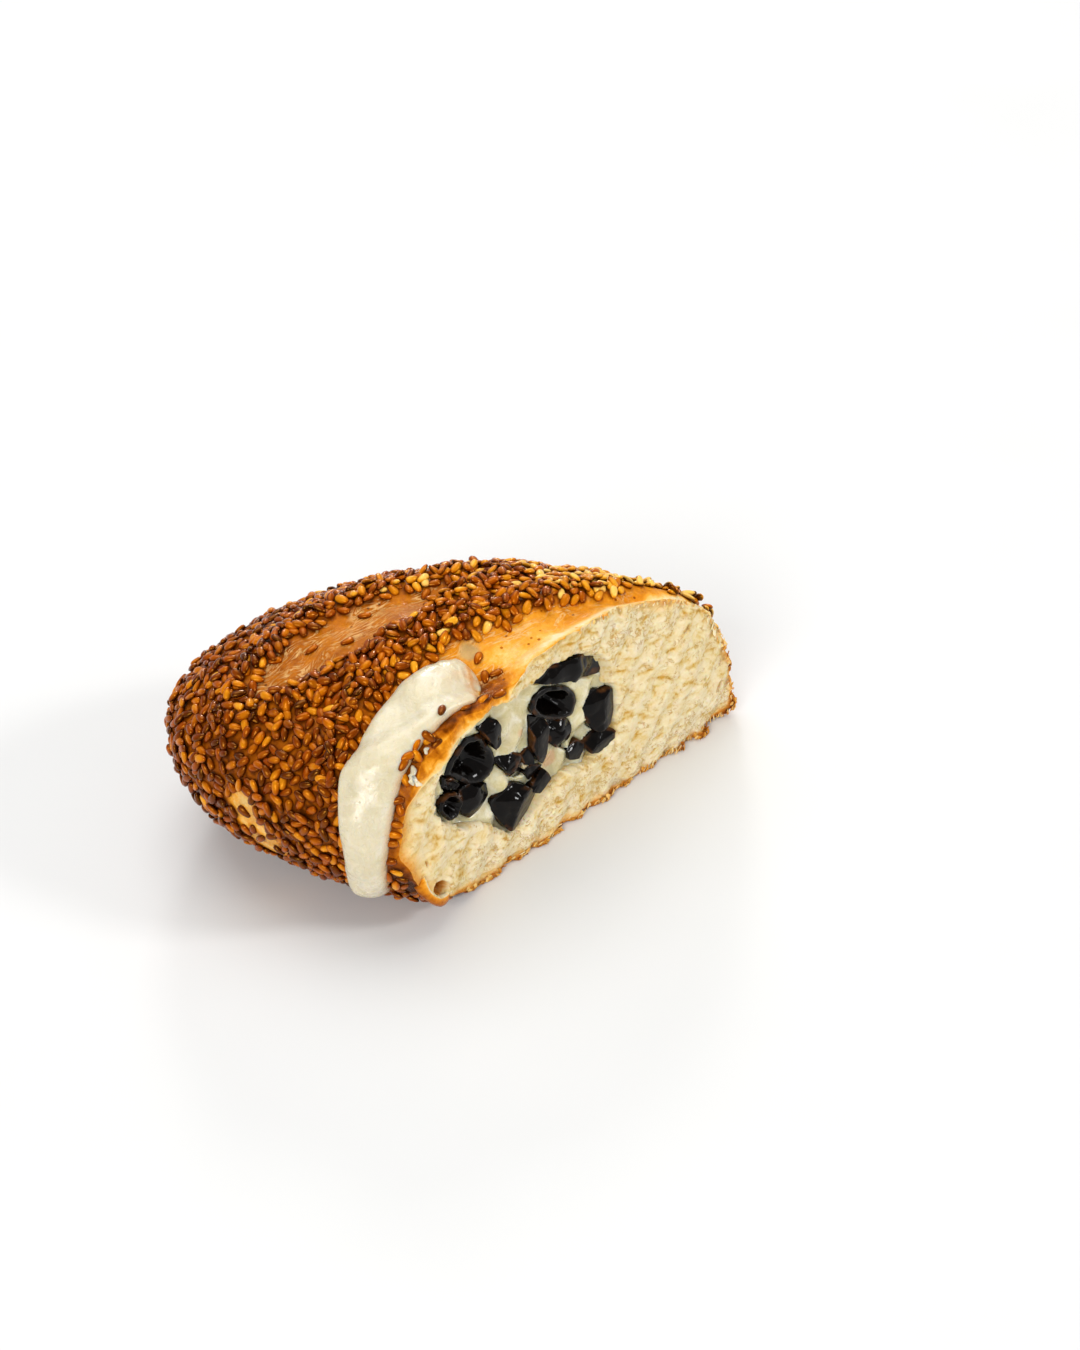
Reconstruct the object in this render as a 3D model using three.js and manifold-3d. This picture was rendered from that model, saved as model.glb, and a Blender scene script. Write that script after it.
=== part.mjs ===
// Half of a filled sesame roll: an oval, egg-washed bread dome crusted with sesame, scored twice along its
// length, cut across with a knife. The cut shows a crumb wall round a core of melted cheese and chopped
// black olives, and a tongue of cheese has run out of a score and down the crust.
// Millimetres, +Z up. The origin is in the flat base, under the middle of the half.
// The knife cut faces -Y, the bread goes back towards +Y.

import * as THREE from 'three';
import { mergeVertices } from 'three/addons/utils/BufferGeometryUtils.js';
import Module from 'manifold-3d';

const wasm = await Module();
wasm.setup();

// ---------------------------------------------------------------- driving dimensions

const FIT_GAP = 0.3;                 // air between neighbouring pieces

// The whole roll before it was cut
const ROLL_LENGTH = 150.5;
const ROLL_WIDTH = 98.2;
const ROLL_HEIGHT = 53.6;
const ROLL_TURN = THREE.MathUtils.degToRad(133.3);   // from +X to the roll's long axis
const OUTLINE_POWER = 1.92;          // 2 would be a true ellipse
const CROWN_POWER = 2.12;            // roundness over the waist
const BELLY_POWER = 2.46;            // roundness under the waist
const WAIST_HEIGHT = 15.2;           // the widest level, at x = 0
const WAIST_SLOPE = -0.198;          // the waist comes down towards +X
const TUCK = 3;                      // the belly curve would end this far under the flat base
const HEART = new THREE.Vector3(0, -23.1, WAIST_HEIGHT);
const SHELL_DETAIL = 12;             // icosahedron subdivisions of the crust
const LUMP_HEIGHT = 0.45;            // slow unevenness of the crust
const LUMP_SIZE = 17;

// The knife cut
const CUT_Y = -40.5;
const CUT_SWELLS = [                 // the soft crumb swells forward at both ends
  { x: 42, z: 22, reach: 15, forward: 2.2 },
  { x: -47, z: 6, reach: 15, forward: 3 },
];
const CRUMB_RELIEF = 0.7;            // tears and flakes of the crumb
const CRUMB_GRAIN = 8.5;
const CRUMB_CELL = 5;

// The two scores, seen from above: bare spindles between raised lips
const SCORE_DEPTH = 1.7;
const SCORE_SLOPE = 3.6;             // width of the slope from the edge down to the floor
const LIP_HEIGHT = 1.1;
const LIP_WIDTH = 2.6;
const SCORES_END_AT = { low: 14, high: 26 };         // they fade out between these heights
const SCORES = [
  { from: [-50, 5.5], to: [15, -9.5], halfWidth: 9.3, fullness: 0.72 },
  { from: [-47, -25], to: [48, -41], halfWidth: 8.2, fullness: 0.6 },
];
const ROOF_SAG = { x: -17, y: CUT_Y, reach: 10, depth: 3.2, low: 30, high: 42 };   // crust sunk over the hollow

// The core: the outline of the hollow in the cut, x and z, then how it narrows on its way in
const HOLLOW_RIM = [
  [-35, 27], [-31.5, 37], [-20, 42.6], [-8, 41.5], [2, 45.3], [10, 44.6], [17, 39.5],
  [19.6, 30], [19.6, 18], [13, 13.6], [3, 13.8], [-7, 10], [-14.5, 8.6], [-22, 15], [-30, 19.5],
];
const RIM_STEPS = 24;
const CORE_SECTIONS = [
  { depth: -4, share: 1 }, { depth: 9, share: 0.98 }, { depth: 20, share: 0.86 },
  { depth: 30, share: 0.64 }, { depth: 37, share: 0.3 },
];
const CORE_CENTRE = [-7, 27];
const CORE_DRIFT = -0.42;            // sideways for each mm inward
const CHEESE_RECESS = 3.1;           // the melted cheese has sunk back from the cut
const CHEESE_SWELL = 1.1;
const CHEESE_CELL = 4.5;

// Olives: outline x and z in the cut, how far back the piece starts, how deep it goes,
// and how far the middle of its face is pushed in (+) or stands out (-)
const OLIVES = {
  roof_slice: {
    outline: [[-4, 43.6], [0, 45], [5.5, 44.2], [10.3, 44], [13.2, 41.8], [17, 38.8], [17.6, 34.6], [12.6, 36.2],
      [6.1, 39.6], [1, 41.2]],
    front: 0.4, depth: 9, dish: -0.7,
  },
  ring: {
    outline: [[-4.9, 37.4], [-3.8, 39.9], [-0.4, 40.2], [2.8, 38.9], [6.1, 36.8], [8.3, 34], [8.8, 31.4], [7.6, 28.6],
      [4, 29.4], [-0.1, 31.9], [-3.4, 34.6]],
    front: 1.6, depth: 8, dish: 5,
  },
  glossy_chunk: {
    outline: [[0.2, 30.9], [6.8, 27.2], [7, 25.8], [5.1, 20.2], [2.9, 22.2], [0.5, 24.9]],
    front: 1.3, depth: 7, dish: -0.8,
  },
  strip: {
    outline: [[-5.2, 34.9], [-1.2, 32.2], [-0.9, 29.4], [-1.9, 23.5], [-2.8, 21.2], [-4.4, 23.4], [-5.7, 27.5], [-5, 30]],
    front: 0.8, depth: 7, dish: -0.5,
  },
  strip_chip: {
    outline: [[-8.2, 26], [-6.2, 27], [-5.5, 24.6], [-5.6, 22.4], [-7.6, 23.6]],
    front: 1.7, depth: 4, dish: -0.3,
  },
  left_chip: {
    outline: [[-15.8, 28.7], [-11, 28.2], [-8.8, 26.2], [-8.4, 20.9], [-10.2, 21.1], [-12.3, 23.1], [-14.5, 26.4]],
    front: 1.6, depth: 6, dish: -0.7,
  },
  corner_chunk: {
    outline: [[-6.3, 17.6], [-3.2, 19.4], [-1.2, 16], [-4.7, 14.2], [-7.2, 16.2]],
    front: 0.6, depth: 6, dish: -0.5,
  },
  brown_chip: {
    outline: [[-8.1, 21.6], [-5.8, 21.8], [-2.9, 20.3], [-6.6, 18.6]],
    front: 1.4, depth: 4, dish: -0.3,
  },
  low_chip: {
    outline: [[5.7, 19.6], [9.2, 20.2], [10.4, 18.6], [9, 15.5], [6.2, 16.9]],
    front: 1.2, depth: 5, dish: -0.4,
  },
  right_slice: {
    outline: [[11.2, 28.4], [12.8, 30.9], [14.9, 31], [17.4, 29.8], [19, 30.5], [19.9, 28], [20.1, 23.7], [18.7, 20.8],
      [14.6, 20.7], [13.2, 22.4], [11.6, 25.9]],
    front: 0.4, depth: 7, dish: 1.6,
  },
  right_wedge: {
    outline: [[10.9, 18.2], [14.5, 19.9], [17.6, 18.9], [19.4, 18], [19.8, 14.7], [18.5, 13.5], [15.3, 14.2], [11.9, 15.9]],
    front: 0.4, depth: 6, dish: -0.6,
  },
  bottom_wedge: {
    outline: [[-18.4, 19.4], [-16, 20.3], [-13.6, 21.2], [-9.3, 18.6], [-5.4, 13.9], [-7.8, 11.2], [-13.7, 9], [-15.2, 10.1],
      [-18.5, 17]],
    front: 0, depth: 10, dish: -1.4,
  },
  cup_rim: {
    outline: [[-20.4, 40.6], [-17.8, 41.2], [-16, 40.6], [-15.2, 37.9], [-15.4, 34.6], [-17.2, 33.6], [-18.5, 37.2]],
    front: 0.9, depth: 7, dish: -0.5,
  },
  cup: {
    outline: [[-30.6, 33.4], [-28.7, 35.9], [-26.3, 37.8], [-23.9, 38.8], [-19.6, 38.2], [-17.4, 33.4], [-15.9, 29.8],
      [-16.8, 27], [-19, 25.4], [-22.4, 25.6], [-26.3, 29.4]],
    front: 2.8, depth: 9, dish: 4,
  },
  cup_wall: {
    outline: [[-26.6, 26.8], [-24, 26.9], [-22.6, 25.2], [-19.5, 24.6], [-19.6, 22], [-22.7, 19.7], [-25.1, 19], [-27.2, 21.1],
      [-27.5, 23.9]],
    front: 1.4, depth: 8, dish: 1,
  },
  dark_chip: {
    outline: [[-32, 33.9], [-30.9, 33], [-27.3, 29.4], [-28.6, 28.8], [-32, 31.2]],
    front: 2.2, depth: 5, dish: 0.5,
  },
  small_ring: {
    outline: [[-34.2, 28.2], [-31.6, 30], [-29.4, 28.4], [-28.1, 25.4], [-28.8, 22.8], [-31.4, 22.6], [-34, 26.2]],
    front: 1, depth: 6, dish: 2.6,
  },
};
const OLIVE_BEVEL = 0.8;
const OLIVE_FACE_SHARE = 0.82;
const OLIVE_BACK_SHARE = 0.76;
const ROOM_GROWTH = 0.6;             // outward from an olive's middle, so that its slanted sides clear too

// The tongue of cheese down the crust: middle line and widths from its head to its tip
const RUN_LINE = [
  [-15.5, -32, 51], [-20, -30.8, 50.5], [-28, -30, 48.5], [-36, -30.2, 44.5], [-43, -31.8, 39],
  [-48.5, -34, 31], [-51.5, -34.6, 23], [-52, -33.6, 15], [-51.6, -31.6, 8.4],
];
const RUN_WIDTHS = [9, 13.8, 14.4, 13.2, 11.4, 9.8, 9, 8.8, 7.6];
const RUN_THICKNESS = 4.4;
const RUN_ROOT = 2;                  // drawn this far into the crust, before the crust is cut from it
const RUN_CROWN_POWER = 0.42;        // lower is flatter across the top
const RUN_ENDS = { head: 0.07, tip: 0.05 };          // share of its length that rounds off
const RUN_STATIONS = 17;
const RUN_ACROSS = 7;

// Sesame, one in about ten of the real number, spread evenly over the seeded crust
const SEED = { length: 3.5, width: 2.1, proud: 0.95, seat: 0.15, root: 0.8 };
const SEED_SPREAD = 0.2;             // from the smallest to the largest
const SEED_COUNT = 235;
const SEED_SPACING = 5.3;
const SEED_TRIES = 24000;
const SEED_LOWEST = 2.3;             // clear of the surface the roll rests on
const SEED_BEHIND_CUT = 2.4;
const SEED_TO_RUN = 2.6;
const SEED_TO_SCORE = 0.6;
const SEED_TILT = 0.3;               // radians from nose up to nose down
const RANDOM_START = 20417;

const COLOURS = { crust: 0xb5651d, cheese: 0xf1e8c9, olive: 0x1a1412 };

// ---------------------------------------------------------------- small helpers

// A repeatable random number from 0 to 1 (mulberry32)
function randomSource(start) {
  let state = start;
  return () => {
    state = (state + 0x6d2b79f5) | 0;
    let mixed = Math.imul(state ^ (state >>> 15), 1 | state);
    mixed = (mixed + Math.imul(mixed ^ (mixed >>> 7), 61 | mixed)) ^ mixed;
    return ((mixed ^ (mixed >>> 14)) >>> 0) / 4294967296;
  };
}

function smooth(edge0, edge1, value) {
  return THREE.MathUtils.smoothstep(value, edge0, edge1);
}

// Soft uneven lumps between about -1 and 1
function lumps(a, b, grain) {
  const u = (a / grain) * Math.PI;
  const v = (b / grain) * Math.PI;
  return 0.5 * Math.sin(u + 1.7 * Math.sin(0.6 * v)) * Math.cos(v + 1.3 * Math.sin(0.5 * u))
    + 0.5 * Math.sin(1.9 * u - 1.1 * v + 0.8);
}

// The closed three.js geometry as a solid
function solidOf(geometry) {
  const bare = geometry.clone();
  bare.deleteAttribute('normal');
  bare.deleteAttribute('uv');
  const merged = mergeVertices(bare, 1e-4);
  return new wasm.Manifold(new wasm.Mesh({
    numProp: 3,
    vertProperties: new Float32Array(merged.attributes.position.array),
    triVerts: new Uint32Array(merged.index.array),
  }));
}

// The largest body of a solid: scraps that a cut leaves loose are dropped
function largestBody(solid) {
  const bodies = solid.decompose();
  return bodies.reduce((best, body) => (body.volume() > best.volume() ? body : best));
}

function meshOf(name, solid, colour, roughness) {
  const mesh = solid.getMesh();
  const geometry = new THREE.BufferGeometry();
  geometry.setAttribute('position', new THREE.Float32BufferAttribute(mesh.vertProperties, 3));
  geometry.setIndex(new THREE.Uint32BufferAttribute(mesh.triVerts, 1));
  const flat = geometry.toNonIndexed();
  flat.computeVertexNormals();
  const material = new THREE.MeshStandardMaterial({ color: colour, roughness, metalness: 0 });
  const node = new THREE.Mesh(flat, material);
  node.name = name;
  return node;
}

// A closed solid through rings of equal length, with a point in the middle of both ends
function solidThroughRings(rings, firstMiddle, lastMiddle) {
  const count = rings[0].length;
  const points = [firstMiddle, ...rings.flat(), lastMiddle];
  const last = points.length - 1;
  const at = (ring, i) => 1 + ring * count + (i % count);
  const faces = [];
  for (let i = 0; i < count; i += 1) {
    faces.push(0, at(0, i + 1), at(0, i));
    faces.push(last, at(rings.length - 1, i), at(rings.length - 1, i + 1));
    for (let ring = 0; ring < rings.length - 1; ring += 1) {
      faces.push(at(ring, i), at(ring, i + 1), at(ring + 1, i + 1));
      faces.push(at(ring, i), at(ring + 1, i + 1), at(ring + 1, i));
    }
  }
  const geometry = new THREE.BufferGeometry();
  geometry.setAttribute('position', new THREE.Float32BufferAttribute(points.flat(), 3));
  geometry.setIndex(faces);
  const solid = solidOf(geometry);
  if (solid.volume() > 0) {
    return solid;
  }
  geometry.setIndex(faces.reverse());
  return solidOf(geometry);
}

// ---------------------------------------------------------------- the crust's form

// Below 0 inside the plain dome of the whole roll
function domeLevel(point) {
  const dx = point.x - HEART.x;
  const dy = point.y - HEART.y;
  const along = (dx * Math.cos(ROLL_TURN) + dy * Math.sin(ROLL_TURN)) / (ROLL_LENGTH / 2);
  const across = (dy * Math.cos(ROLL_TURN) - dx * Math.sin(ROLL_TURN)) / (ROLL_WIDTH / 2);
  const reach = (Math.abs(along) ** OUTLINE_POWER + Math.abs(across) ** OUTLINE_POWER) ** (1 / OUTLINE_POWER);
  const waist = WAIST_HEIGHT + WAIST_SLOPE * point.x;
  if (point.z >= waist) {
    return ((point.z - waist) / (ROLL_HEIGHT - waist)) ** CROWN_POWER + reach ** CROWN_POWER - 1;
  }
  return ((waist - point.z) / (waist + TUCK)) ** BELLY_POWER + reach ** BELLY_POWER - 1;
}

// How far a place seen from above is outside a score's edge (negative inside it)
function outsideScore(score, x, y) {
  const axisX = score.to[0] - score.from[0];
  const axisY = score.to[1] - score.from[1];
  const length = Math.hypot(axisX, axisY);
  const along = ((x - score.from[0]) * axisX + (y - score.from[1]) * axisY) / length;
  const aside = Math.abs((y - score.from[1]) * axisX - (x - score.from[0]) * axisY) / length;
  const share = THREE.MathUtils.clamp(along / length, 0, 1);
  const overEnd = Math.max(0, -along, along - length);
  return Math.hypot(aside, overEnd) - score.halfWidth * Math.sin(Math.PI * share ** score.fullness);
}

// The crust's height over the plain dome: sunk scores, raised lips, a sagged roof, slow lumps
function crustRelief(point) {
  let lift = LUMP_HEIGHT * lumps(point.x + 0.6 * point.z, point.y, LUMP_SIZE);
  for (const score of SCORES) {
    const outside = outsideScore(score, point.x, point.y);
    const onTop = smooth(SCORES_END_AT.low, SCORES_END_AT.high, point.z);
    lift -= onTop * SCORE_DEPTH * (1 - smooth(-SCORE_SLOPE, 0, outside));
    lift += onTop * LIP_HEIGHT * Math.exp(-(((outside - LIP_WIDTH) / LIP_WIDTH) ** 2));
  }
  const sagX = (point.x - ROOF_SAG.x) / ROOF_SAG.reach;
  const sagY = (point.y - ROOF_SAG.y) / ROOF_SAG.reach;
  return lift - smooth(ROOF_SAG.low, ROOF_SAG.high, point.z) * ROOF_SAG.depth * Math.exp(-(sagX ** 2) - sagY ** 2);
}

// The point of the crust that lies from the heart in a direction, lifted off it
function crustPoint(direction, lift = 0) {
  let near = 0;
  let far = ROLL_LENGTH;
  const point = new THREE.Vector3();
  for (let step = 0; step < 36; step += 1) {
    const middle = (near + far) / 2;
    point.copy(HEART).addScaledVector(direction, middle);
    if (domeLevel(point) < 0) {
      near = middle;
    } else {
      far = middle;
    }
  }
  return point.addScaledVector(direction, crustRelief(point) + lift);
}

function directionTo(point) {
  return point.clone().sub(HEART).normalize();
}

function crustNormal(direction) {
  const side = new THREE.Vector3(0, 0, 1).cross(direction).normalize().multiplyScalar(0.01);
  const over = side.clone().cross(direction).normalize().multiplyScalar(0.01);
  const here = crustPoint(direction);
  const a = crustPoint(direction.clone().add(side).normalize()).sub(here);
  const b = crustPoint(direction.clone().add(over).normalize()).sub(here);
  const normal = a.cross(b).normalize();
  return normal.dot(direction) < 0 ? normal.negate() : normal;
}

function makeDome(lift = 0) {
  const geometry = new THREE.IcosahedronGeometry(1, SHELL_DETAIL);
  const positions = geometry.attributes.position;
  for (let i = 0; i < positions.count; i += 1) {
    const place = crustPoint(new THREE.Vector3().fromBufferAttribute(positions, i).normalize(), lift);
    positions.setXYZ(i, place.x, place.y, place.z);
  }
  return solidOf(geometry);
}

// Everything above the table and behind a front that is depthAt(x, z) back from the cut
function blockBehind(depthAt, cell) {
  const width = 152;
  const height = 64;
  const geometry = new THREE.BoxGeometry(width, 2, height, Math.round(width / cell), 1, Math.round(height / cell));
  const positions = geometry.attributes.position;
  for (let i = 0; i < positions.count; i += 1) {
    const x = positions.getX(i);
    const z = positions.getZ(i) + height / 2;
    const y = positions.getY(i) > 0 ? ROLL_LENGTH / 2 : CUT_Y + depthAt(x, z);
    positions.setXYZ(i, x, y, z);
  }
  return solidOf(geometry);
}

function crumbFace(x, z) {
  const forward = CUT_SWELLS.reduce((sum, swell) => (
    sum + swell.forward * Math.exp(-(((x - swell.x) / swell.reach) ** 2) - ((z - swell.z) / swell.reach) ** 2)), 0);
  return CRUMB_RELIEF * lumps(x, z, CRUMB_GRAIN) - forward;
}

// ---------------------------------------------------------------- the core

// The core's space, drawn in from the hollow's walls by `inset`
function makeCore(inset) {
  const rim = new THREE.CatmullRomCurve3(
    HOLLOW_RIM.map(([x, z]) => new THREE.Vector3(x - CORE_CENTRE[0], 0, z - CORE_CENTRE[1])), true);
  const outline = rim.getPoints(RIM_STEPS).slice(0, RIM_STEPS);
  const sectionAt = ({ depth, share }) => outline.map((point) => {
    const radius = point.length();
    const scale = (share * radius - inset) / radius;
    return [CORE_CENTRE[0] + CORE_DRIFT * depth + point.x * scale, CUT_Y + depth, CORE_CENTRE[1] + point.z * scale];
  });
  const ends = [CORE_SECTIONS[0], CORE_SECTIONS.at(-1)].map(({ depth }) => (
    [CORE_CENTRE[0] + CORE_DRIFT * depth, CUT_Y + depth + Math.sign(depth) * (1.5 - inset), CORE_CENTRE[1]]));
  return solidThroughRings(CORE_SECTIONS.map(sectionAt), ends[0], ends[1]);
}

function middleOf(outline) {
  const sum = outline.reduce(([sumX, sumZ], [x, z]) => [sumX + x, sumZ + z], [0, 0]);
  return sum.map((value) => value / outline.length);
}

// An olive's outline `back` from the cut, shrunk to a share of its size and then grown by `grow`
function oliveRing(outline, back, share, grow = 0) {
  const [middleX, middleZ] = middleOf(outline);
  return outline.map(([x, z]) => {
    const scale = share + grow / Math.hypot(x - middleX, z - middleZ);
    return [middleX + (x - middleX) * scale, CUT_Y + back, middleZ + (z - middleZ) * scale];
  });
}

// One chopped piece of olive: a bevelled face, full width behind it, narrower at the back
function makeOlive({ outline, front, depth, dish }) {
  const [middleX, middleZ] = middleOf(outline);
  const rings = [
    oliveRing(outline, front, OLIVE_FACE_SHARE),
    oliveRing(outline, front + OLIVE_BEVEL, 1),
    oliveRing(outline, front + depth, OLIVE_BACK_SHARE),
  ];
  return solidThroughRings(rings, [middleX, CUT_Y + front + dish, middleZ], [middleX, CUT_Y + front + depth, middleZ]);
}

// The room an olive takes out of the bread and the cheese, with the gap all round
function makeOliveRoom({ outline, front, depth, dish }) {
  const [middleX, middleZ] = middleOf(outline);
  const start = front - FIT_GAP;
  const end = front + depth + FIT_GAP;
  const rings = [oliveRing(outline, start, 1, ROOM_GROWTH), oliveRing(outline, end, OLIVE_BACK_SHARE, ROOM_GROWTH)];
  const face = [middleX, CUT_Y + start + Math.min(dish, 0), middleZ];
  return solidThroughRings(rings, face, [middleX, CUT_Y + end, middleZ]);
}

// ---------------------------------------------------------------- the tongue of cheese

const runLine = new THREE.CatmullRomCurve3(RUN_LINE.map((point) => new THREE.Vector3(...point)));

function runWidth(share) {
  const place = share * (RUN_WIDTHS.length - 1);
  const index = Math.min(Math.floor(place), RUN_WIDTHS.length - 2);
  return THREE.MathUtils.lerp(RUN_WIDTHS[index], RUN_WIDTHS[index + 1], place - index);
}

function makeRun() {
  const rings = [];
  for (let station = 1; station <= RUN_STATIONS; station += 1) {
    const share = (1 - Math.cos((Math.PI * station) / (RUN_STATIONS + 1))) / 2;
    const middle = runLine.getPoint(share);
    const outward = directionTo(middle);
    const sideways = runLine.getTangent(share).cross(outward).normalize();
    const rounding = Math.min(1, share / RUN_ENDS.head, (1 - share) / RUN_ENDS.tip);
    const half = (runWidth(share) / 2) * Math.sqrt(1 - (1 - rounding) ** 2);
    const across = (side) => {
      const place = middle.clone().addScaledVector(sideways, side * half);
      const crown = RUN_THICKNESS * Math.sqrt(rounding) * Math.max(0, 1 - side * side) ** RUN_CROWN_POWER;
      return crustPoint(directionTo(place), crown).toArray();
    };
    const ring = [crustPoint(outward, -RUN_ROOT).toArray()];
    for (let i = 0; i <= RUN_ACROSS; i += 1) {
      ring.push(across(-Math.cos((Math.PI * i) / RUN_ACROSS)));
    }
    rings.push(ring);
  }
  const endAt = (share) => crustPoint(directionTo(runLine.getPoint(share)), FIT_GAP).toArray();
  return solidThroughRings(rings, endAt(0), endAt(1)).subtract(makeDome(FIT_GAP));
}

// ---------------------------------------------------------------- sesame

// A teardrop lying along X: a six-sided outline just under the crust, a ridge over it and a root below
function makeSeedGeometry(stretch) {
  const half = (SEED.length / 2) * stretch;
  const wide = (SEED.width / 2) * stretch;
  const outline = [
    [half, 0], [half * 0.35, wide * 0.8], [-half * 0.5, wide], [-half, 0], [-half * 0.5, -wide], [half * 0.35, -wide * 0.8],
  ];
  const ridge = [[half * 0.3, 0, SEED.proud * 0.85], [-half * 0.45, 0, SEED.proud]];
  const points = [...outline.map(([x, y]) => [x, y, -SEED.seat]), ...ridge, [0, 0, -SEED.root]];
  const overOutline = [[0, 1, 6], [1, 2, 7], [1, 7, 6], [2, 3, 7], [3, 4, 7], [4, 5, 6], [4, 6, 7], [5, 0, 6]];
  const underOutline = outline.map((_, i) => [(i + 1) % outline.length, i, 8]);
  const geometry = new THREE.BufferGeometry();
  geometry.setAttribute('position', new THREE.Float32BufferAttribute(points.flat(), 3));
  geometry.setIndex([...overOutline, ...underOutline].flat());
  return geometry;
}

function distanceToRun(point) {
  let nearest = Infinity;
  for (let step = 0; step <= 40; step += 1) {
    const share = step / 40;
    nearest = Math.min(nearest, runLine.getPoint(share).distanceTo(point) - runWidth(share) / 2);
  }
  return nearest;
}

function isSeeded(point) {
  return point.z > SEED_LOWEST
    && point.y > CUT_Y + SEED_BEHIND_CUT
    && distanceToRun(point) > SEED_TO_RUN
    && (point.z < SCORES_END_AT.low || SCORES.every((score) => outsideScore(score, point.x, point.y) > SEED_TO_SCORE));
}

function makeSeeds() {
  const random = randomSource(RANDOM_START);
  const places = [];
  const seeds = [];
  for (let attempt = 0; attempt < SEED_TRIES && seeds.length < SEED_COUNT; attempt += 1) {
    const height = random() * 1.5 - 0.5;
    const turn = random() * 2 * Math.PI;
    const ring = Math.sqrt(Math.max(0, 1 - height * height));
    const direction = new THREE.Vector3(ring * Math.cos(turn), ring * Math.sin(turn), height);
    const point = crustPoint(direction);
    if (!isSeeded(point) || places.some((place) => place.distanceTo(point) < SEED_SPACING)) {
      continue;
    }
    places.push(point);
    const normal = crustNormal(direction);
    const geometry = makeSeedGeometry(1 + SEED_SPREAD * (random() - 0.5));
    geometry.rotateY((random() - 0.5) * SEED_TILT);
    geometry.rotateZ(random() * 2 * Math.PI);
    geometry.applyQuaternion(new THREE.Quaternion().setFromUnitVectors(new THREE.Vector3(0, 0, 1), normal));
    geometry.translate(point.x, point.y, point.z);
    seeds.push(solidOf(geometry));
  }
  return seeds.reduce((joined, seed) => joined.add(seed));
}

// ---------------------------------------------------------------- the half roll

function makeHalfRoll() {
  const group = new THREE.Group();
  const olives = Object.entries(OLIVES);
  const rooms = olives.map(([, olive]) => makeOliveRoom(olive));

  let bread = makeDome().intersect(blockBehind(crumbFace, CRUMB_CELL)).subtract(makeCore(0));
  const cheeseFace = (x, z) => CHEESE_RECESS + CHEESE_SWELL * lumps(x + 3, z, 7);
  let cheese = makeCore(FIT_GAP + 0.1).intersect(blockBehind(cheeseFace, CHEESE_CELL));
  for (const room of rooms) {
    bread = bread.subtract(room);
    cheese = cheese.subtract(room);
  }
  bread = largestBody(bread).add(makeSeeds());
  group.add(meshOf('bread', largestBody(bread), COLOURS.crust, 0.55));
  group.add(meshOf('cheese_filling', largestBody(cheese), COLOURS.cheese, 0.3));
  group.add(meshOf('cheese_run', largestBody(makeRun()), COLOURS.cheese, 0.3));

  olives.forEach(([name, olive], index) => {
    let piece = makeOlive(olive);
    for (const earlier of rooms.slice(0, index)) {
      piece = piece.subtract(earlier);
    }
    group.add(meshOf(`olive_${name}`, largestBody(piece), COLOURS.olive, 0.2));
  });
  return group;
}

export default makeHalfRoll();
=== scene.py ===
"""Half of a filled sesame roll, cut across: egg-washed crust with two bare scores, roasted sesame, torn pale
crumb, a core of melted cheese and chopped black olives, and a tongue of cheese run down the crust.

Lengths in this script are millimetres and become metres only where a mesh is made. +X runs along the knife
cut, -Y points out of it and +Z is up. The large forms have the sizes of the CAD source.
"""

import functools
import math

import bpy
import numpy as np
from mathutils import Matrix, Vector, kdtree


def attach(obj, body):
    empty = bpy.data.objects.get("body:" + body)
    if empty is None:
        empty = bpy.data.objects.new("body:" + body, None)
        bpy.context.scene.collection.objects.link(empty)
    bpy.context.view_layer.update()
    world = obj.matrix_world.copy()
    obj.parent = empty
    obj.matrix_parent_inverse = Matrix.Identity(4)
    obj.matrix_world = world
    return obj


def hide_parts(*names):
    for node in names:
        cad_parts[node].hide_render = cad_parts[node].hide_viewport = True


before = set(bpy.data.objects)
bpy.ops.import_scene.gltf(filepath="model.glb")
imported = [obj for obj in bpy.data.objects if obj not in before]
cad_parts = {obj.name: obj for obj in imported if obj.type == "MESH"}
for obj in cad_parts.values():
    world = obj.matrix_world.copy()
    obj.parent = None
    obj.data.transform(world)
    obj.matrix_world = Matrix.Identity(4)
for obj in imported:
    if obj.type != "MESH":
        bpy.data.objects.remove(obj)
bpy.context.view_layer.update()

MM = 0.001

# ---------------------------------------------------------------- sizes shared with the CAD source

ROLL_LENGTH = 150.5
ROLL_WIDTH = 98.2
ROLL_HEIGHT = 53.6
ROLL_TURN = math.radians(133.3)
OUTLINE_POWER = 1.92
CROWN_POWER = 2.12
BELLY_POWER = 2.46
WAIST_HEIGHT = 15.2
WAIST_SLOPE = -0.198
TUCK = 3
HEART = np.array([0, -23.1, WAIST_HEIGHT])
LUMP_HEIGHT = 0.45
LUMP_SIZE = 17

CUT_Y = -40.5
CUT_SWELLS = [
    {"x": 42, "z": 22, "reach": 15, "forward": 2.2},
    {"x": -47, "z": 6, "reach": 15, "forward": 3},
]
CRUMB_RELIEF = 0.7
CRUMB_GRAIN = 8.5

SCORE_DEPTH = 1.7
SCORE_SLOPE = 3.6
LIP_HEIGHT = 1.1
LIP_WIDTH = 2.6
SCORES_END_AT = {"low": 14, "high": 26}
UPPER_SCORE = {"from": (-50, 5.5), "to": (15, -9.5), "half_width": 9.3, "fullness": 0.72}
LOWER_SCORE = {"from": (-47, -25), "to": (48, -41), "half_width": 8.2, "fullness": 0.6}
SCORES = [UPPER_SCORE, LOWER_SCORE]
FIBRE_TURN = math.radians(-12) + 0.5     # which way the stretched dough's fibres run, before they drift
ROOF_SAG = {"x": -17, "y": CUT_Y, "reach": 10, "depth": 3.2, "low": 30, "high": 42}

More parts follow.
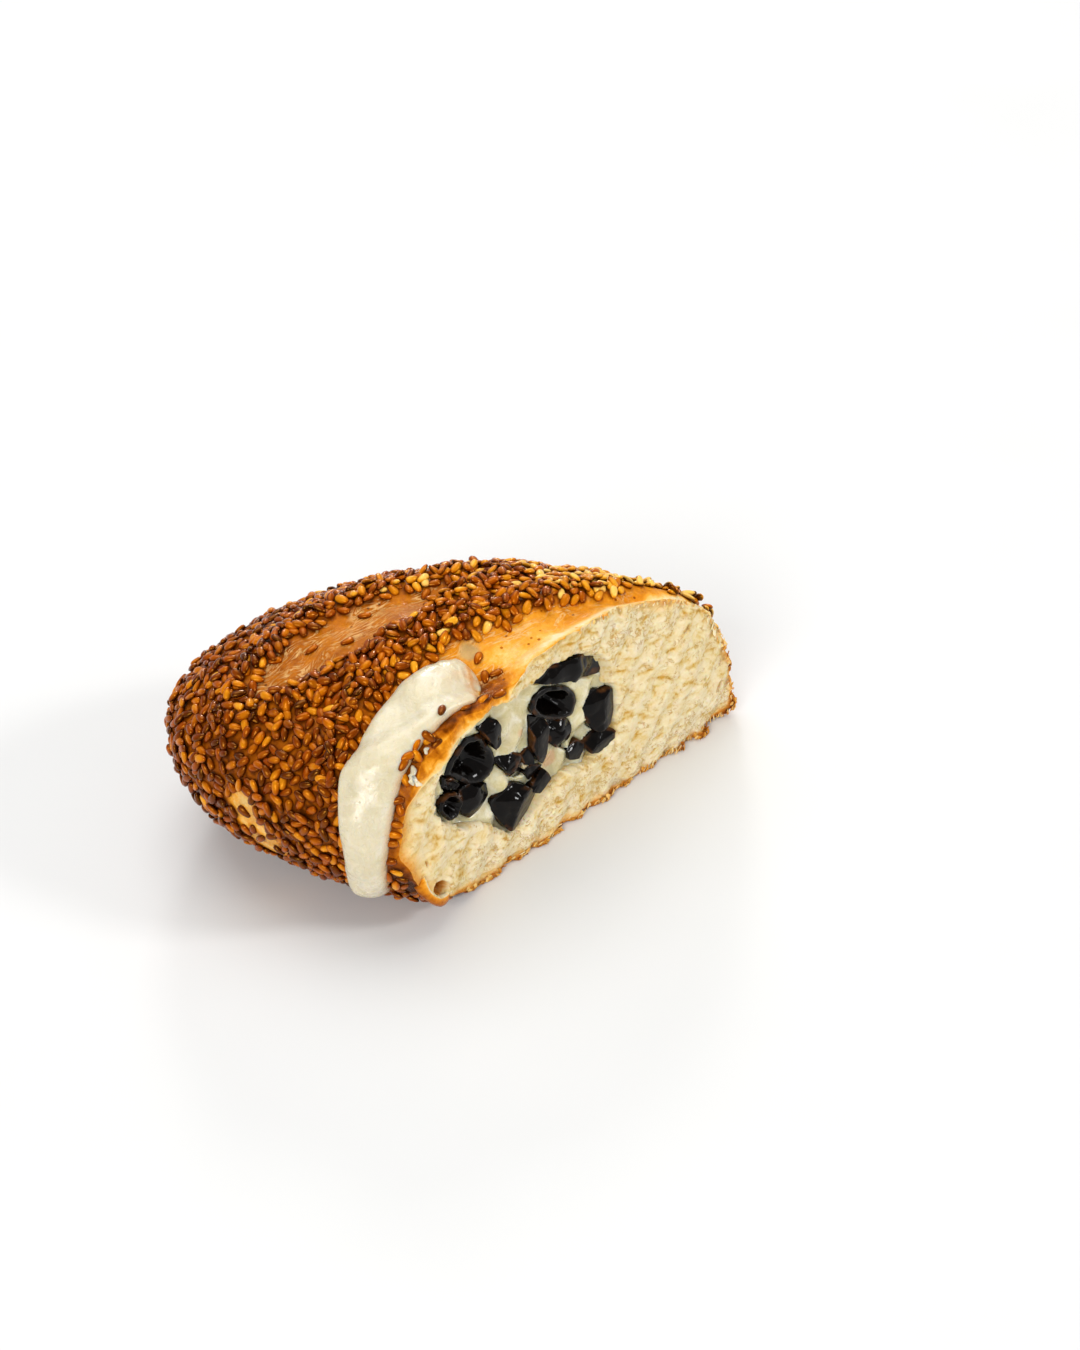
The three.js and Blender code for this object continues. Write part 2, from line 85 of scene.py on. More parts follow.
HOLLOW_RIM = [                       # x, z: its upper left stands up to 3 mm higher than the solid's
    (-36, 28), (-33.4, 37.5), (-26.6, 42.3), (-18.6, 45), (-11, 44.3), (-3, 45.4), (3, 45.9), (10, 44.6),
    (17, 39.5), (20, 30), (20, 18), (13, 13.6), (3, 14.2), (-7, 10), (-14.5, 8.6), (-22, 16), (-30, 20),
]
CORE_DEPTHS = [-4, 9, 20, 30, 37]
CORE_SHARES = [1, 0.98, 0.86, 0.64, 0.3]
CORE_CENTRE = np.array([-7, 27])
CORE_DRIFT = -0.42
CHEESE_RECESS = 3.1
CHEESE_SWELL = 1.1

RUN_LINE = [
    (-15.5, -32, 51), (-20, -30.8, 50.5), (-28, -30, 48.5), (-36, -30.2, 44.5), (-43, -31.8, 39),
    (-48.5, -34, 31), (-51.5, -34.6, 23), (-52, -33.6, 15), (-51.6, -31.6, 8.4),
]
RUN_WIDTHS = [9, 13.8, 14.4, 13.2, 11.4, 9.8, 9, 8.8, 7.6]
RUN_THICKNESS = 4.4
RUN_ROOT = 2
RUN_CROWN_POWER = 0.42
RUN_ENDS = {"head": 0.07, "tip": 0.05}

RANDOM_START = 20417
chance = np.random.default_rng(RANDOM_START)

# ---------------------------------------------------------------- small helpers


def smooth(low, high, value):
    share = np.clip((value - low) / (high - low), 0, 1)
    return share * share * (3 - 2 * share)


def bump(a, b, middle_a, middle_b, reach):
    """1 at the middle, fading out over the reach."""
    return np.exp(-((a - middle_a) ** 2 + (b - middle_b) ** 2) / reach**2)


def lumps(a, b, grain):
    """Soft uneven lumps between about -1 and 1, as in the CAD source."""
    u = a / grain * math.pi
    v = b / grain * math.pi
    waves = np.sin(u + 1.7 * np.sin(0.6 * v)) * np.cos(v + 1.3 * np.sin(0.5 * u))
    return 0.5 * waves + 0.5 * np.sin(1.9 * u - 1.1 * v + 0.8)


def cell_chance(cells, salt):
    """A repeatable random number from 0 to 1 for each whole-numbered cell."""
    mixed = np.full(cells.shape[:-1], salt * 7919 + 17, np.int64)
    for axis, prime in enumerate((73856093, 19349663, 83492791)[: cells.shape[-1]]):
        mixed = mixed ^ (cells[..., axis] * prime)
    mixed = (mixed ^ (mixed >> 13)) * 1274126177 & 0x7FFFFFFF
    mixed = (mixed ^ (mixed >> 15)) * 668265263 & 0x7FFFFFFF
    return (mixed ^ (mixed >> 11)) % 65536 / 65535


def cloud(points, size, salt=0):
    """Soft noise from -1 to 1 whose features are about `size` wide."""
    place = points / size
    cell = np.floor(place).astype(np.int64)
    part = place - cell
    part = part * part * (3 - 2 * part)
    total = np.zeros(points.shape[:-1])
    for corner in np.ndindex(*(2,) * points.shape[-1]):
        weight = np.prod(np.where(corner, part, 1 - part), axis=-1)
        total += weight * cell_chance(cell + np.array(corner), salt)
    return 2 * total - 1


def rough(points, size, octaves, salt=0):
    """Layers of soft noise, each half as wide and half as strong as the one before."""
    layers = [cloud(points, size / 2**i, salt + i) / 2**i for i in range(octaves)]
    return sum(layers) / (2 - 2 ** (1 - octaves))


def closed_curve(corners, steps):
    """A smooth closed curve through the corners, `steps` points from each to the next."""
    corners = np.array(corners, float)
    share = (np.arange(steps) / steps)[:, None]
    before, after, beyond = (np.roll(corners, shift, axis=0) for shift in (1, -1, -2))
    pieces = []
    for p0, p1, p2, p3 in zip(before, corners, after, beyond):
        pieces.append(0.5 * (
            2 * p1
            + (p2 - p0) * share
            + (2 * p0 - 5 * p1 + 4 * p2 - p3) * share**2
            + (3 * p1 - p0 - 3 * p2 + p3) * share**3
        ))
    return np.concatenate(pieces)


def open_curve(corners, shares):
    """Points at the shares, from 0 to 1, of a smooth curve through the corners."""
    corners = np.array(corners, float)
    padded = np.concatenate([[2 * corners[0] - corners[1]], corners, [2 * corners[-1] - corners[-2]]])
    place = np.clip(np.asarray(shares) * (len(corners) - 1), 0, len(corners) - 1 - 1e-9)
    index = np.floor(place).astype(int)
    share = (place - index)[..., None]
    p0, p1, p2, p3 = (padded[index + i] for i in range(4))
    return 0.5 * (
        2 * p1
        + (p2 - p0) * share
        + (2 * p0 - 5 * p1 + 4 * p2 - p3) * share**2
        + (3 * p1 - p0 - 3 * p2 + p3) * share**3
    )


def around(count):
    """Angles evenly round a circle."""
    return np.arange(count) / count * 2 * math.pi


def unit(vectors):
    return vectors / np.linalg.norm(vectors, axis=-1, keepdims=True)


# ---------------------------------------------------------------- the crust's form


def dome_level(points):
    """Below 0 inside the plain dome of the whole roll."""
    x, y, z = points.T
    along = ((x - HEART[0]) * math.cos(ROLL_TURN) + (y - HEART[1]) * math.sin(ROLL_TURN)) / (ROLL_LENGTH / 2)
    across = ((y - HEART[1]) * math.cos(ROLL_TURN) - (x - HEART[0]) * math.sin(ROLL_TURN)) / (ROLL_WIDTH / 2)
    reach = (np.abs(along) ** OUTLINE_POWER + np.abs(across) ** OUTLINE_POWER) ** (1 / OUTLINE_POWER)
    waist = WAIST_HEIGHT + WAIST_SLOPE * x
    above = np.clip((z - waist) / (ROLL_HEIGHT - waist), 0, None)
    below = np.clip((waist - z) / (waist + TUCK), 0, None)
    crown = above**CROWN_POWER + reach**CROWN_POWER
    belly = below**BELLY_POWER + reach**BELLY_POWER
    return np.where(z >= waist, crown, belly) - 1


def outside_score(score, points):
    """How far a place seen from above is outside a score's edge, negative inside it."""
    start = np.array(score["from"])
    axis = np.array(score["to"]) - start
    length = np.hypot(*axis)
    offset = points[:, :2] - start
    along = offset @ axis / length
    aside = np.abs(offset[:, 1] * axis[0] - offset[:, 0] * axis[1]) / length
    share = np.clip(along / length, 0, 1)
    over_end = np.maximum(0, np.maximum(-along, along - length))
    return np.hypot(aside, over_end) - score["half_width"] * np.sin(math.pi * share ** score["fullness"])


def on_top(points):
    return smooth(SCORES_END_AT["low"], SCORES_END_AT["high"], points[:, 2])


def crust_relief(points):
    """The crust's height over the plain dome: sunk scores, raised lips, a sagged roof, slow lumps."""
    x, y, z = points.T
    lift = LUMP_HEIGHT * lumps(x + 0.6 * z, y, LUMP_SIZE)
    for score in SCORES:
        outside = outside_score(score, points)
        lift -= on_top(points) * SCORE_DEPTH * (1 - smooth(-SCORE_SLOPE, 0, outside))
        lift += on_top(points) * LIP_HEIGHT * np.exp(-(((outside - LIP_WIDTH) / LIP_WIDTH) ** 2))
    sag = smooth(ROOF_SAG["low"], ROOF_SAG["high"], z) * ROOF_SAG["depth"]
    return lift - sag * bump(x, y, ROOF_SAG["x"], ROOF_SAG["y"], ROOF_SAG["reach"])


def crust_points(directions, lift=0.0):
    """The points of the crust that lie from the heart in the directions, lifted off it."""
    near = np.zeros(directions.shape[:-1])
    far = np.full(directions.shape[:-1], float(ROLL_LENGTH))
    for _ in range(28):
        middle = (near + far) / 2
        inside = dome_level(HEART + directions * middle[..., None]) < 0
        near = np.where(inside, middle, near)
        far = np.where(inside, far, middle)
    on_dome = HEART + directions * near[..., None]
    return HEART + directions * (near + crust_relief(on_dome) + lift)[..., None]


def crust_under(points, lift=0.0):
    return crust_points(unit(points - HEART), lift)


def crust_normals(points):
    """Outward normals of the crust at points that lie on it."""
    outward = unit(points - HEART)
    side = unit(np.cross([0, 0, 1], outward))
    over = np.cross(outward, side)
    step = 0.01
    a = crust_under(points + side * step) - crust_under(points - side * step)
    b = crust_under(points + over * step) - crust_under(points - over * step)
    return unit(np.cross(a, b))


def crumb_front(x, z):
    """How far the cut face lies from the plane of the knife, before its fine relief."""
    front = CRUMB_RELIEF * lumps(x, z, CRUMB_GRAIN)
    for swell in CUT_SWELLS:
        front = front - swell["forward"] * bump(x, z, swell["x"], swell["z"], swell["reach"])
    return front


def from_polar(azimuth, polar):
    """Directions by their turn round the -Y axis and their angle away from it."""
    return np.stack([
        np.sin(polar) * np.cos(azimuth),
        -np.cos(polar) * np.ones_like(azimuth),
        np.sin(polar) * np.sin(azimuth),
    ], axis=-1)


def rest_on_table(points):
    """Points that would lie under the table are drawn back to it along their line from the heart."""
    drop = np.minimum(points[:, 2], 0)
    return HEART + (points - HEART) * (HEART[2] / (HEART[2] - drop))[:, None]


# ---------------------------------------------------------------- materials


def linear(colour):
    """An sRGB hex colour as linear red, green, blue and alpha."""
    channels = [int(colour[i:i + 2], 16) / 255 for i in (1, 3, 5)]
    return [c / 12.92 if c <= 0.04045 else ((c + 0.055) / 1.055) ** 2.4 for c in channels] + [1]


def add_node(tree, kind, out=None, stops=(), **given):
    """Adds a node and gives its output. Settings and inputs go by name, with _ for a space in a name.
    An input is a link, numbers or a hex colour, and a list fills the inputs that share a name in turn."""
    node = tree.nodes.new("ShaderNode" + kind)
    names = [socket.name.lower().replace(" ", "_") for socket in node.inputs]
    for key in given:
        if key not in names:
            setattr(node, key, given[key])
    for _ in stops[2:]:
        node.color_ramp.elements.new(0.5)
    for element, (place, colour) in zip(node.color_ramp.elements if stops else (), stops):
        element.position = place
        element.color = linear(colour)
    for key in dict.fromkeys(names):
        sockets = [socket for socket, name in zip(node.inputs, names) if name == key and socket.enabled]
        values = given.get(key, [])
        for socket, value in zip(sockets, values if isinstance(values, list) else [values]):
            if isinstance(value, bpy.types.NodeSocket):
                tree.links.new(value, socket)
            else:
                socket.default_value = linear(value) if isinstance(value, str) else value
    outputs = [s for s in node.outputs if s.enabled and out in (None, s.name)]
    return outputs[0] if outputs else None


def new_material(name, *values):
    """A material without nodes, what adds nodes to it, places fixed to the piece, and its mesh's values."""
    material = bpy.data.materials.new(name)
    material.use_nodes = True
    material.node_tree.nodes.clear()
    add = functools.partial(add_node, material.node_tree)
    place = add("TexCoord", out="Object")
    return material, add, place, *(add("Attribute", out="Fac", attribute_name=value) for value in values)


def wide(width):
    """The scale of a pattern whose features are `width` millimetres wide."""
    return 1 / (width * MM)


def egg_washed_crust():
    """Oven-browned wheat crust under a brushed egg wash: a thin hard gloss over amber to dark brown, that
    looks wet where the glaze has pooled. Where the scores opened, the dough stretched into fine wrinkles and
    left small pits; the wrinkles are drawn pale, partly as paler dough and partly as painted highlights."""
    material, add, place, browning, bare, wet, film = new_material(
        "egg_washed_crust", "browning", "bare", "wet", "film")
    mottle = add("TexNoise", vector=place, scale=wide(5), detail=5, roughness=0.6)
    speckle = add("TexNoise", vector=place, scale=wide(0.9), detail=3, roughness=0.6)
    pools = add("TexNoise", vector=place, scale=wide(2.6), detail=3, distortion=0.8)
    pools = add("MapRange", value=pools, from_min=0.3, from_max=0.7, to_min=-0.12, to_max=0.16)
    pits = add("TexVoronoi", out="Distance", vector=place, scale=wide(3.2))
    pits = add("MapRange", value=pits, from_min=0.13, from_max=0.07, to_max=0.3)
    pits = add("Math", operation="MULTIPLY", value=[pits, bare])
    level = browning
    for layer, weight in ((mottle, 0.34), (speckle, 0.24), (pools, wet), (pits, 1.0)):
        level = add("Math", operation="MULTIPLY_ADD", value=[layer, weight, level])
    level = add("Math", operation="SUBTRACT", use_clamp=True, value=[level, 0.29])
    brown = add("ValToRGB", fac=level, stops=[
        (0.0, "#f6e2b4"), (0.12, "#f6cd80"), (0.25, "#efa636"), (0.38, "#d98718"), (0.5, "#ba690c"),
        (0.64, "#944a04"), (0.82, "#662d00"), (1.0, "#381400"),
    ])
    brown = add("Mix", data_type="RGBA", factor=film, a=brown, b="#b9a06c")
    drift = add("TexNoise", vector=place, scale=wide(16), detail=2)
    bent = add("VectorRotate", rotation_type="Z_AXIS", vector=place, angle=drift)
    stretched = add("Mapping", vector_type="TEXTURE", vector=bent, rotation=(0, 0, FIBRE_TURN),
                    scale=(5, 1, 1))
    fibres = add("TexNoise", vector=stretched, scale=wide(1.6), detail=3, roughness=0.55, distortion=1.1)
    fibres = add("Math", operation="SUBTRACT", value=[fibres, 0.5])
    fibres = add("Math", operation="ABSOLUTE", value=[fibres])
    fibres = add("MapRange", value=fibres, from_min=0.05, from_max=0.012, to_max=0.7)
    where = add("TexNoise", vector=place, scale=wide(6), detail=3)
    where = add("MapRange", value=where, from_min=0.4, from_max=0.56)
    for share in (where, bare):
        fibres = add("Math", operation="MULTIPLY", value=[fibres, share])
    # Pale lines along the fibres: partly paler stretched dough, partly painted highlights on the wrinkles.
    colour = add("Mix", data_type="RGBA", factor=fibres, a=brown, b="#f0c480")
    wrinkle = add("TexNoise", vector=place, scale=wide(0.7), detail=4, roughness=0.6, distortion=0.6)
    relief = wrinkle
    for layer, weight in ((fibres, 1.4), (pits, -4.0)):
        relief = add("Math", operation="MULTIPLY_ADD", value=[layer, weight, relief])
    normal = add("Bump", strength=0.5, distance=0.3 * MM, height=relief)
    gloss = add("MapRange", value=wrinkle, from_min=0.3, from_max=0.7, to_min=0.34, to_max=0.5)
    gloss = add("Math", operation="MULTIPLY_ADD", value=[wet, -0.2, gloss])
    shader = add("BsdfPrincipled", base_color=colour, roughness=gloss, normal=normal, ior=1.45,
                 specular_ior_level=0.24, specular_tint="#ffa54e", coat_weight=0.03, coat_roughness=0.06,
                 subsurface_weight=0.1, subsurface_radius=(1.2, 0.45, 0.1), subsurface_scale=MM)
    add("OutputMaterial", surface=shader)
    return material


def torn_crumb():
    """Soft wheat crumb torn and cut by a knife: matt creamy flakes, painted darker golden in their hollows
    and along the tears as shade.
    """
    material, add, place, height, toast, shred = new_material("torn_crumb", "relief", "toast", "shred")
    soft = add("TexNoise", vector=place, scale=wide(4.5), detail=4)
    fine = add("TexNoise", vector=place, scale=wide(0.7), detail=4, roughness=0.6)
    # The lower the relief, the darker and more golden the crumb: painted shade in its hollows.
    level = height
    for layer, weight in ((fine, 0.6), (soft, 0.4)):
        level = add("Math", operation="MULTIPLY_ADD", value=[layer, weight, level])
    level = add("Math", operation="SUBTRACT", use_clamp=True, value=[level, 0.51])
    # Thin golden lines along the tears: painted shadow lines.
    tear_shade = add("TexNoise", vector=place, scale=wide(1.5), detail=3, roughness=0.55, distortion=1.2)
    tear_shade = add("Math", operation="SUBTRACT", value=[tear_shade, 0.5])
    tear_shade = add("Math", operation="ABSOLUTE", value=[tear_shade])
    tear_shade = add("MapRange", value=tear_shade, from_min=0.045, from_max=0.01)
    where = add("TexNoise", vector=place, scale=wide(2.1), detail=2, roughness=0.5)
    where = add("Math", operation="MULTIPLY_ADD", value=[shred, 0.08, where])
    where = add("MapRange", value=where, from_min=0.52, from_max=0.62, to_max=0.75)
    tear_shade = add("Math", operation="MULTIPLY", value=[tear_shade, where])
    flesh = add("ValToRGB", fac=level, stops=[
        (0.0, "#c4943a"), (0.16, "#d8b874"), (0.34, "#e2cd9b"), (0.65, "#eadbb6"), (1.0, "#efe3c6"),
    ])
    torn = add("Mix", data_type="RGBA", factor=tear_shade, a=flesh, b="#c08f38")
    toasted = add("Math", operation="MULTIPLY_ADD", value=[fine, 0.3, toast])
    toasted = add("ValToRGB", fac=toasted, stops=[
        (0.15, "#f0dfb4"), (0.4, "#edc47a"), (0.65, "#d58f34"), (0.9, "#a75e18"), (1.0, "#6f3708"),
    ])
    share = add("Math", operation="MULTIPLY", use_clamp=True, value=[toast, 2.5])
    colour = add("Mix", data_type="RGBA", factor=share, a=torn, b=toasted)
    rise = add("Math", operation="MULTIPLY_ADD", value=[tear_shade, -0.8, fine])
    normal = add("Bump", strength=0.7, distance=0.35 * MM, height=rise)
    shader = add("BsdfPrincipled", base_color=colour, roughness=0.75, normal=normal, ior=1.4,
                 specular_ior_level=0.2, subsurface_weight=0.5, subsurface_radius=(1.1, 0.7, 0.3),
                 subsurface_scale=MM)
    add("OutputMaterial", surface=shader)
    return material


def roasted_sesame(name, stops):
    """Roasted sesame: a thin waxy hull under the same egg wash as the crust, which gives it an amber shine.
    It is darker at the tip. Painted shade draws it nearly black round its base, and a painted highlight
    lightens its crest."""
    material, add, place, tone, tip, foot, crest = new_material(name, "tone", "tip", "foot", "crest")
    blotch = add("TexNoise", vector=place, scale=wide(1.2), detail=3)
    level = tone
    # the crest share lightens the top of each seed as a painted highlight
    for layer, weight in ((blotch, 0.5), (tip, -0.35), (crest, 0.4)):
        level = add("Math", operation="MULTIPLY_ADD", value=[layer, weight, level])
    level = add("Math", operation="SUBTRACT", use_clamp=True, value=[level, 0.4])
    hull_colour = add("ValToRGB", fac=level, stops=stops)
    # painted shade: the hull is drawn nearly black round the seed's base
    colour = add("Mix", data_type="RGBA", factor=foot, a=hull_colour, b="#2c0d00")
    hull = add("TexNoise", vector=place, scale=wide(0.35), detail=2)      # coarser than the hull's real net
    normal = add("Bump", strength=0.25, distance=0.12 * MM, height=hull)
    shader = add("BsdfPrincipled", base_color=colour, roughness=0.2, normal=normal, ior=1.47,
                 specular_ior_level=1.0, specular_tint="#ffae3c", coat_weight=0.02, coat_roughness=0.06,
                 subsurface_weight=0.1, subsurface_radius=(0.8, 0.3, 0.06), subsurface_scale=MM)
    add("OutputMaterial", surface=shader)
    return material


def toasted_flake():
    """Thin flakes of baked crust at the torn edge: matt, cream inside, toasted golden to brown outside."""
    material, add, place, tone = new_material("toasted_crust_flake", "tone")
    blotch = add("TexNoise", vector=place, scale=wide(0.9), detail=3, roughness=0.6)
    level = add("Math", operation="MULTIPLY_ADD", value=[blotch, 0.4, tone])
    level = add("Math", operation="SUBTRACT", use_clamp=True, value=[level, 0.2])
    colour = add("ValToRGB", fac=level, stops=[
        (0.0, "#f2e0b6"), (0.3, "#eec67c"), (0.55, "#d99636"), (0.8, "#a35c12"), (1.0, "#5a2a04"),
    ])
    grain = add("TexNoise", vector=place, scale=wide(0.4), detail=3)
    normal = add("Bump", strength=0.4, distance=0.15 * MM, height=grain)
    shader = add("BsdfPrincipled", base_color=colour, roughness=0.5, normal=normal, ior=1.45,
                 specular_ior_level=0.25, specular_tint="#ffd9a8", subsurface_weight=0.25,
                 subsurface_radius=(0.9, 0.5, 0.2), subsurface_scale=MM)
    add("OutputMaterial", surface=shader)
    return material


def melted_cheese(name, tints, tinge):
    """Melted white cheese: smooth and wet with fat, light sinks into it; fine pits, faint yellower streaks,
    tiny bubbles that catch the light, and a tinge where it is thin over the glaze or soaks into crumb."""
    material, add, place, tinged = new_material(name, "tinged")
    streak = add("TexNoise", vector=place, scale=wide(4.5), detail=5, roughness=0.6, distortion=0.8)
    body = add("ValToRGB", fac=streak, stops=[(0.3, tints[0]), (0.5, tints[1]), (0.7, tints[2])])
    colour = add("Mix", data_type="RGBA", factor=tinged, a=body, b=tinge)
    skin = add("TexNoise", vector=place, scale=wide(1.8), detail=3, roughness=0.5, distortion=0.6)
    bubbles = add("TexVoronoi", out="Distance", vector=place, scale=wide(1.8))
    bubbles = add("MapRange", value=bubbles, from_min=0.16, from_max=0.0, to_max=0.8)
    rise = add("Math", operation="ADD", value=[skin, bubbles])
    normal = add("Bump", strength=0.35, distance=0.5 * MM, height=rise)
    gloss = add("MapRange", value=skin, from_min=0.35, from_max=0.65, to_min=0.17, to_max=0.4)
    shader = add("BsdfPrincipled", base_color=colour, roughness=gloss, normal=normal, ior=1.45,
                 specular_ior_level=0.75, coat_weight=0.05, coat_roughness=0.12, subsurface_weight=0.9,
                 subsurface_radius=(2.6, 2.1, 1.3), subsurface_scale=MM)
    add("OutputMaterial", surface=shader)
    return material


def cured_black_olive():
    """Cured black olive: near-black flesh, wet and glossy, matt charcoal where the knife went through, and
    brown where an edge is thin enough to let light in."""
    material, add, place, matt, thin = new_material("cured_black_olive", "matt", "thin")
    grain = add("TexNoise", vector=place, scale=wide(1.3), detail=4, roughness=0.6)
    flesh = add("ValToRGB", fac=grain, stops=[(0.35, "#0b0908"), (0.65, "#161210")])
    skin = add("ValToRGB", fac=grain, stops=[(0.3, "#020101"), (0.7, "#0b0705")])
    body = add("Mix", data_type="RGBA", factor=matt, a=skin, b=flesh)
    patches = add("TexNoise", vector=place, scale=wide(3.5), detail=2)
    patches = add("MapRange", value=patches, from_min=0.5, from_max=0.68, to_max=0.8)
    brown = add("Math", operation="MULTIPLY", value=[thin, patches])
    colour = add("Mix", data_type="RGBA", factor=brown, a=body, b="#54300f")
    # The flesh's fibres are drawn coarser than the real ones.
    fibres = add("TexNoise", vector=place, scale=wide(1.7), detail=1, roughness=0.4, distortion=0.3)
    normal = add("Bump", strength=0.3, distance=0.4 * MM, height=fibres)
    gloss = add("MapRange", value=matt, to_min=0.1, to_max=0.28)
    shader = add("BsdfPrincipled", base_color=colour, roughness=gloss, normal=normal, ior=1.42,
                 specular_ior_level=0.18, coat_weight=0.04, coat_roughness=0.05)
    add("OutputMaterial", surface=shader)
    return material


def painted_table_top():
    """Matt painted table top, very pale and warm grey, faintly uneven."""
    material, add, place = new_material("painted_table_top")
    cloudy = add("TexNoise", vector=place, scale=wide(90), detail=2)
    colour = add("ValToRGB", fac=cloudy, stops=[(0.3, "#dededd"), (0.7, "#e1e1e0")])
    shader = add("BsdfPrincipled", base_color=colour, roughness=0.6, specular_ior_level=0.25)
    add("OutputMaterial", surface=shader)
    return material


# ---------------------------------------------------------------- making pieces


def add_object(name, data):
    added = bpy.data.objects.new(name, data)
    bpy.context.scene.collection.objects.link(added)
    return added


def make_piece(name, points, faces, materials, node, slot, values, face_material=None):
    """A smooth mesh piece, from millimetres, that rides with the roll and stands for the CAD node."""
    mesh = bpy.data.meshes.new(name)
    mesh.from_pydata((np.asarray(points) * MM).tolist(), [], faces)
    mesh.update()
    for material in materials:
        mesh.materials.append(material)
    mesh.polygons.foreach_set("use_smooth", np.ones(len(mesh.polygons), bool))
    if face_material is not None:
        mesh.polygons.foreach_set("material_index", np.asarray(face_material, np.int32))
    for key, numbers in values.items():
        layer = mesh.attributes.new(key, "FLOAT", "POINT")
        layer.data.foreach_set("value", np.asarray(np.broadcast_to(numbers, len(points)), np.float32))
    piece = add_object(name, mesh)
    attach(piece, "root")
    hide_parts(node)


def stitch_rows(rows):
    """Faces between closed rows of vertex numbers, where a row has as many as the last or half of them."""
    faces = []
    for row, following in zip(rows, rows[1:]):
        next_low = np.roll(following, -1)
        if len(following) == len(row):
            faces += np.stack([row, np.roll(row, -1), next_low, following], axis=1).tolist()
        else:
            even, odd = row[::2], row[1::2]
            faces += np.stack([even, odd, following], axis=1).tolist()
            faces += np.stack([odd, np.roll(even, -1), next_low, following], axis=1).tolist()
    return faces


def close_end(row, tip):
    """Faces from the last closed row to one point."""
    return [[a, b, tip] for a, b in zip(row.tolist(), np.roll(row, -1).tolist())]


def closed_body(rings, tips, turned=False):
    """Points and faces of a closed body: its rings of points and a tip beyond the first and the last. It is
    turned over where its faces would look inwards."""
    count = len(rings[0])
    rows = [count * i + np.arange(count) for i in range(len(rings))]
    points = np.concatenate([*rings, tips])
    faces = stitch_rows(rows) + close_end(rows[-1], len(points) - 1)
    faces += [face[::-1] for face in close_end(rows[0], len(points) - 2)]
    return points, [face[::-1] for face in faces] if turned else faces


def joined(bodies):
    """The points and faces of several bodies in one."""
    start = 0
    faces = []
    for points, own_faces in bodies:
        faces += [[start + i for i in face] for face in own_faces]
        start += len(points)
    return np.concatenate([points for points, _ in bodies]), faces


# ---------------------------------------------------------------- where the sesame lies

SEED = {"length": 3.3, "width": 1.98, "thickness": 1.5}
SEED_SPREAD = 0.22                   # from the smallest to the largest
SEED_TRIES = 52000
SEED_SPACING = 1.75
HEAP_SPACING = 2.0
HEAP_LIFT = 0.85
SEED_SEAT = 0.34                     # the middle of a seed over the crust
SEED_LOBE = 0.26                     # two round lobes at this share of the length stand for a seed
SEED_TOUCH = 0.92                    # lobes closer than this share of the width overlap
SEED_TURNS = 7                       # turns that a seed tries as it lands
SEED_CELL = 4                        # seeds within a cell of this size, or next to it, may touch
PALE_PATCH = {"from": (-5, 26.5), "to": (-10, 11), "half_width": 4.6}     # y, z: the sesame missed it


def seeded_share(points):
    """How thickly sesame covers the crust at a place, 0 where it is bare."""
    x, y, _ = points.T
    share = 1 - 0.35 * smooth(30, 48, x) * on_top(points)
    for score in SCORES:
        edge = smooth(-2.2, -0.6, outside_score(score, points) + 0.8 * cloud(points, 4, 81))
        if score is LOWER_SCORE:
            edge = np.maximum(edge, smooth(-17, -25, x))
            edge = edge * (1 - smooth(8, 5, y - CUT_Y) * smooth(-20, -14, x) * smooth(50, 38, x))
        share = share * (1 - on_top(points) * (1 - edge))
    return share


def pale_patch(points):
    """1 on the bare patch of the round end, 0 away from it."""
    start = np.array(PALE_PATCH["from"])
    axis = np.array(PALE_PATCH["to"]) - start
    offset = points[:, 1:] - start
    share = np.clip(offset @ axis / (axis @ axis), 0, 1)
    away = np.linalg.norm(offset - share[:, None] * axis, axis=1) + 2.2 * rough(points, 5, 2, 83)
    patch = smooth(PALE_PATCH["half_width"] + 2.4, PALE_PATCH["half_width"] - 2, away)
    return smooth(-40, -50, points[:, 0]) * patch


def glazed_strip(points):
    """The strip of crust between the tongue of cheese and the cut, where the glaze has pooled."""
    x, y, z = points.T
    from_cut = y - CUT_Y - crumb_front(x, z)
    return smooth(-8, -16, x) * smooth(60, 40, np.abs(x)) * smooth(8.5, 5.5, from_cut), from_cut


def sparse_flank(points):
    """Low on the flank by the tongue of cheese the sesame lies thinner."""
    x, y, z = points.T
    return smooth(30, 20, z) * smooth(-62, -52, x) * smooth(-5, -14, y)


def run_station(shares):
    """Middle points and widths of the tongue of cheese."""
    return open_curve(RUN_LINE, shares), np.interp(shares, np.linspace(0, 1, len(RUN_WIDTHS)), RUN_WIDTHS)


def distance_to_run(points):
    middles, widths = run_station(np.linspace(0, 1, 41))
    return np.min(np.linalg.norm(points[:, None] - middles, axis=2) - widths / 2, axis=1)


def random_crust_points(count):
    height = chance.uniform(-0.6, 1, count)
    turn = chance.uniform(0, 2 * math.pi, count)
    ring = np.sqrt(1 - height**2)
    return crust_points(np.stack([ring * np.cos(turn), ring * np.sin(turn), height], axis=1))


def heaped_share(points):
    """Where seeds lie two deep: along the lips of the scores."""
    outsides = [outside_score(score, points) for score in SCORES]
    lips = [smooth(0, 1.5, outside) * smooth(8, 4, outside) for outside in outsides]
    return np.max(lips, axis=0) * on_top(points)


def roast_at(point):
    """How much paler the seeds are at a place: palest towards the far end of the cut, darkest at the round
    end and on the flank by the cheese."""
    x, y, _ = point
    pale = 0.1 * smooth(-30, -5, x) + 0.68 * smooth(6, 34, x) * (1 - 0.6 * smooth(-12, 14, y))
    return pale - (0.06 * smooth(-48, -62, x) + 0.13 * smooth(-20, -32, x))


def seed_axes(normal, turns):
    """Directions along the crust, by their turn about its normal."""
    side = unit(np.cross(normal, [0.1, 0.3, 1]))
    return np.cos(turns)[:, None] * side + np.sin(turns)[:, None] * np.cross(normal, side)


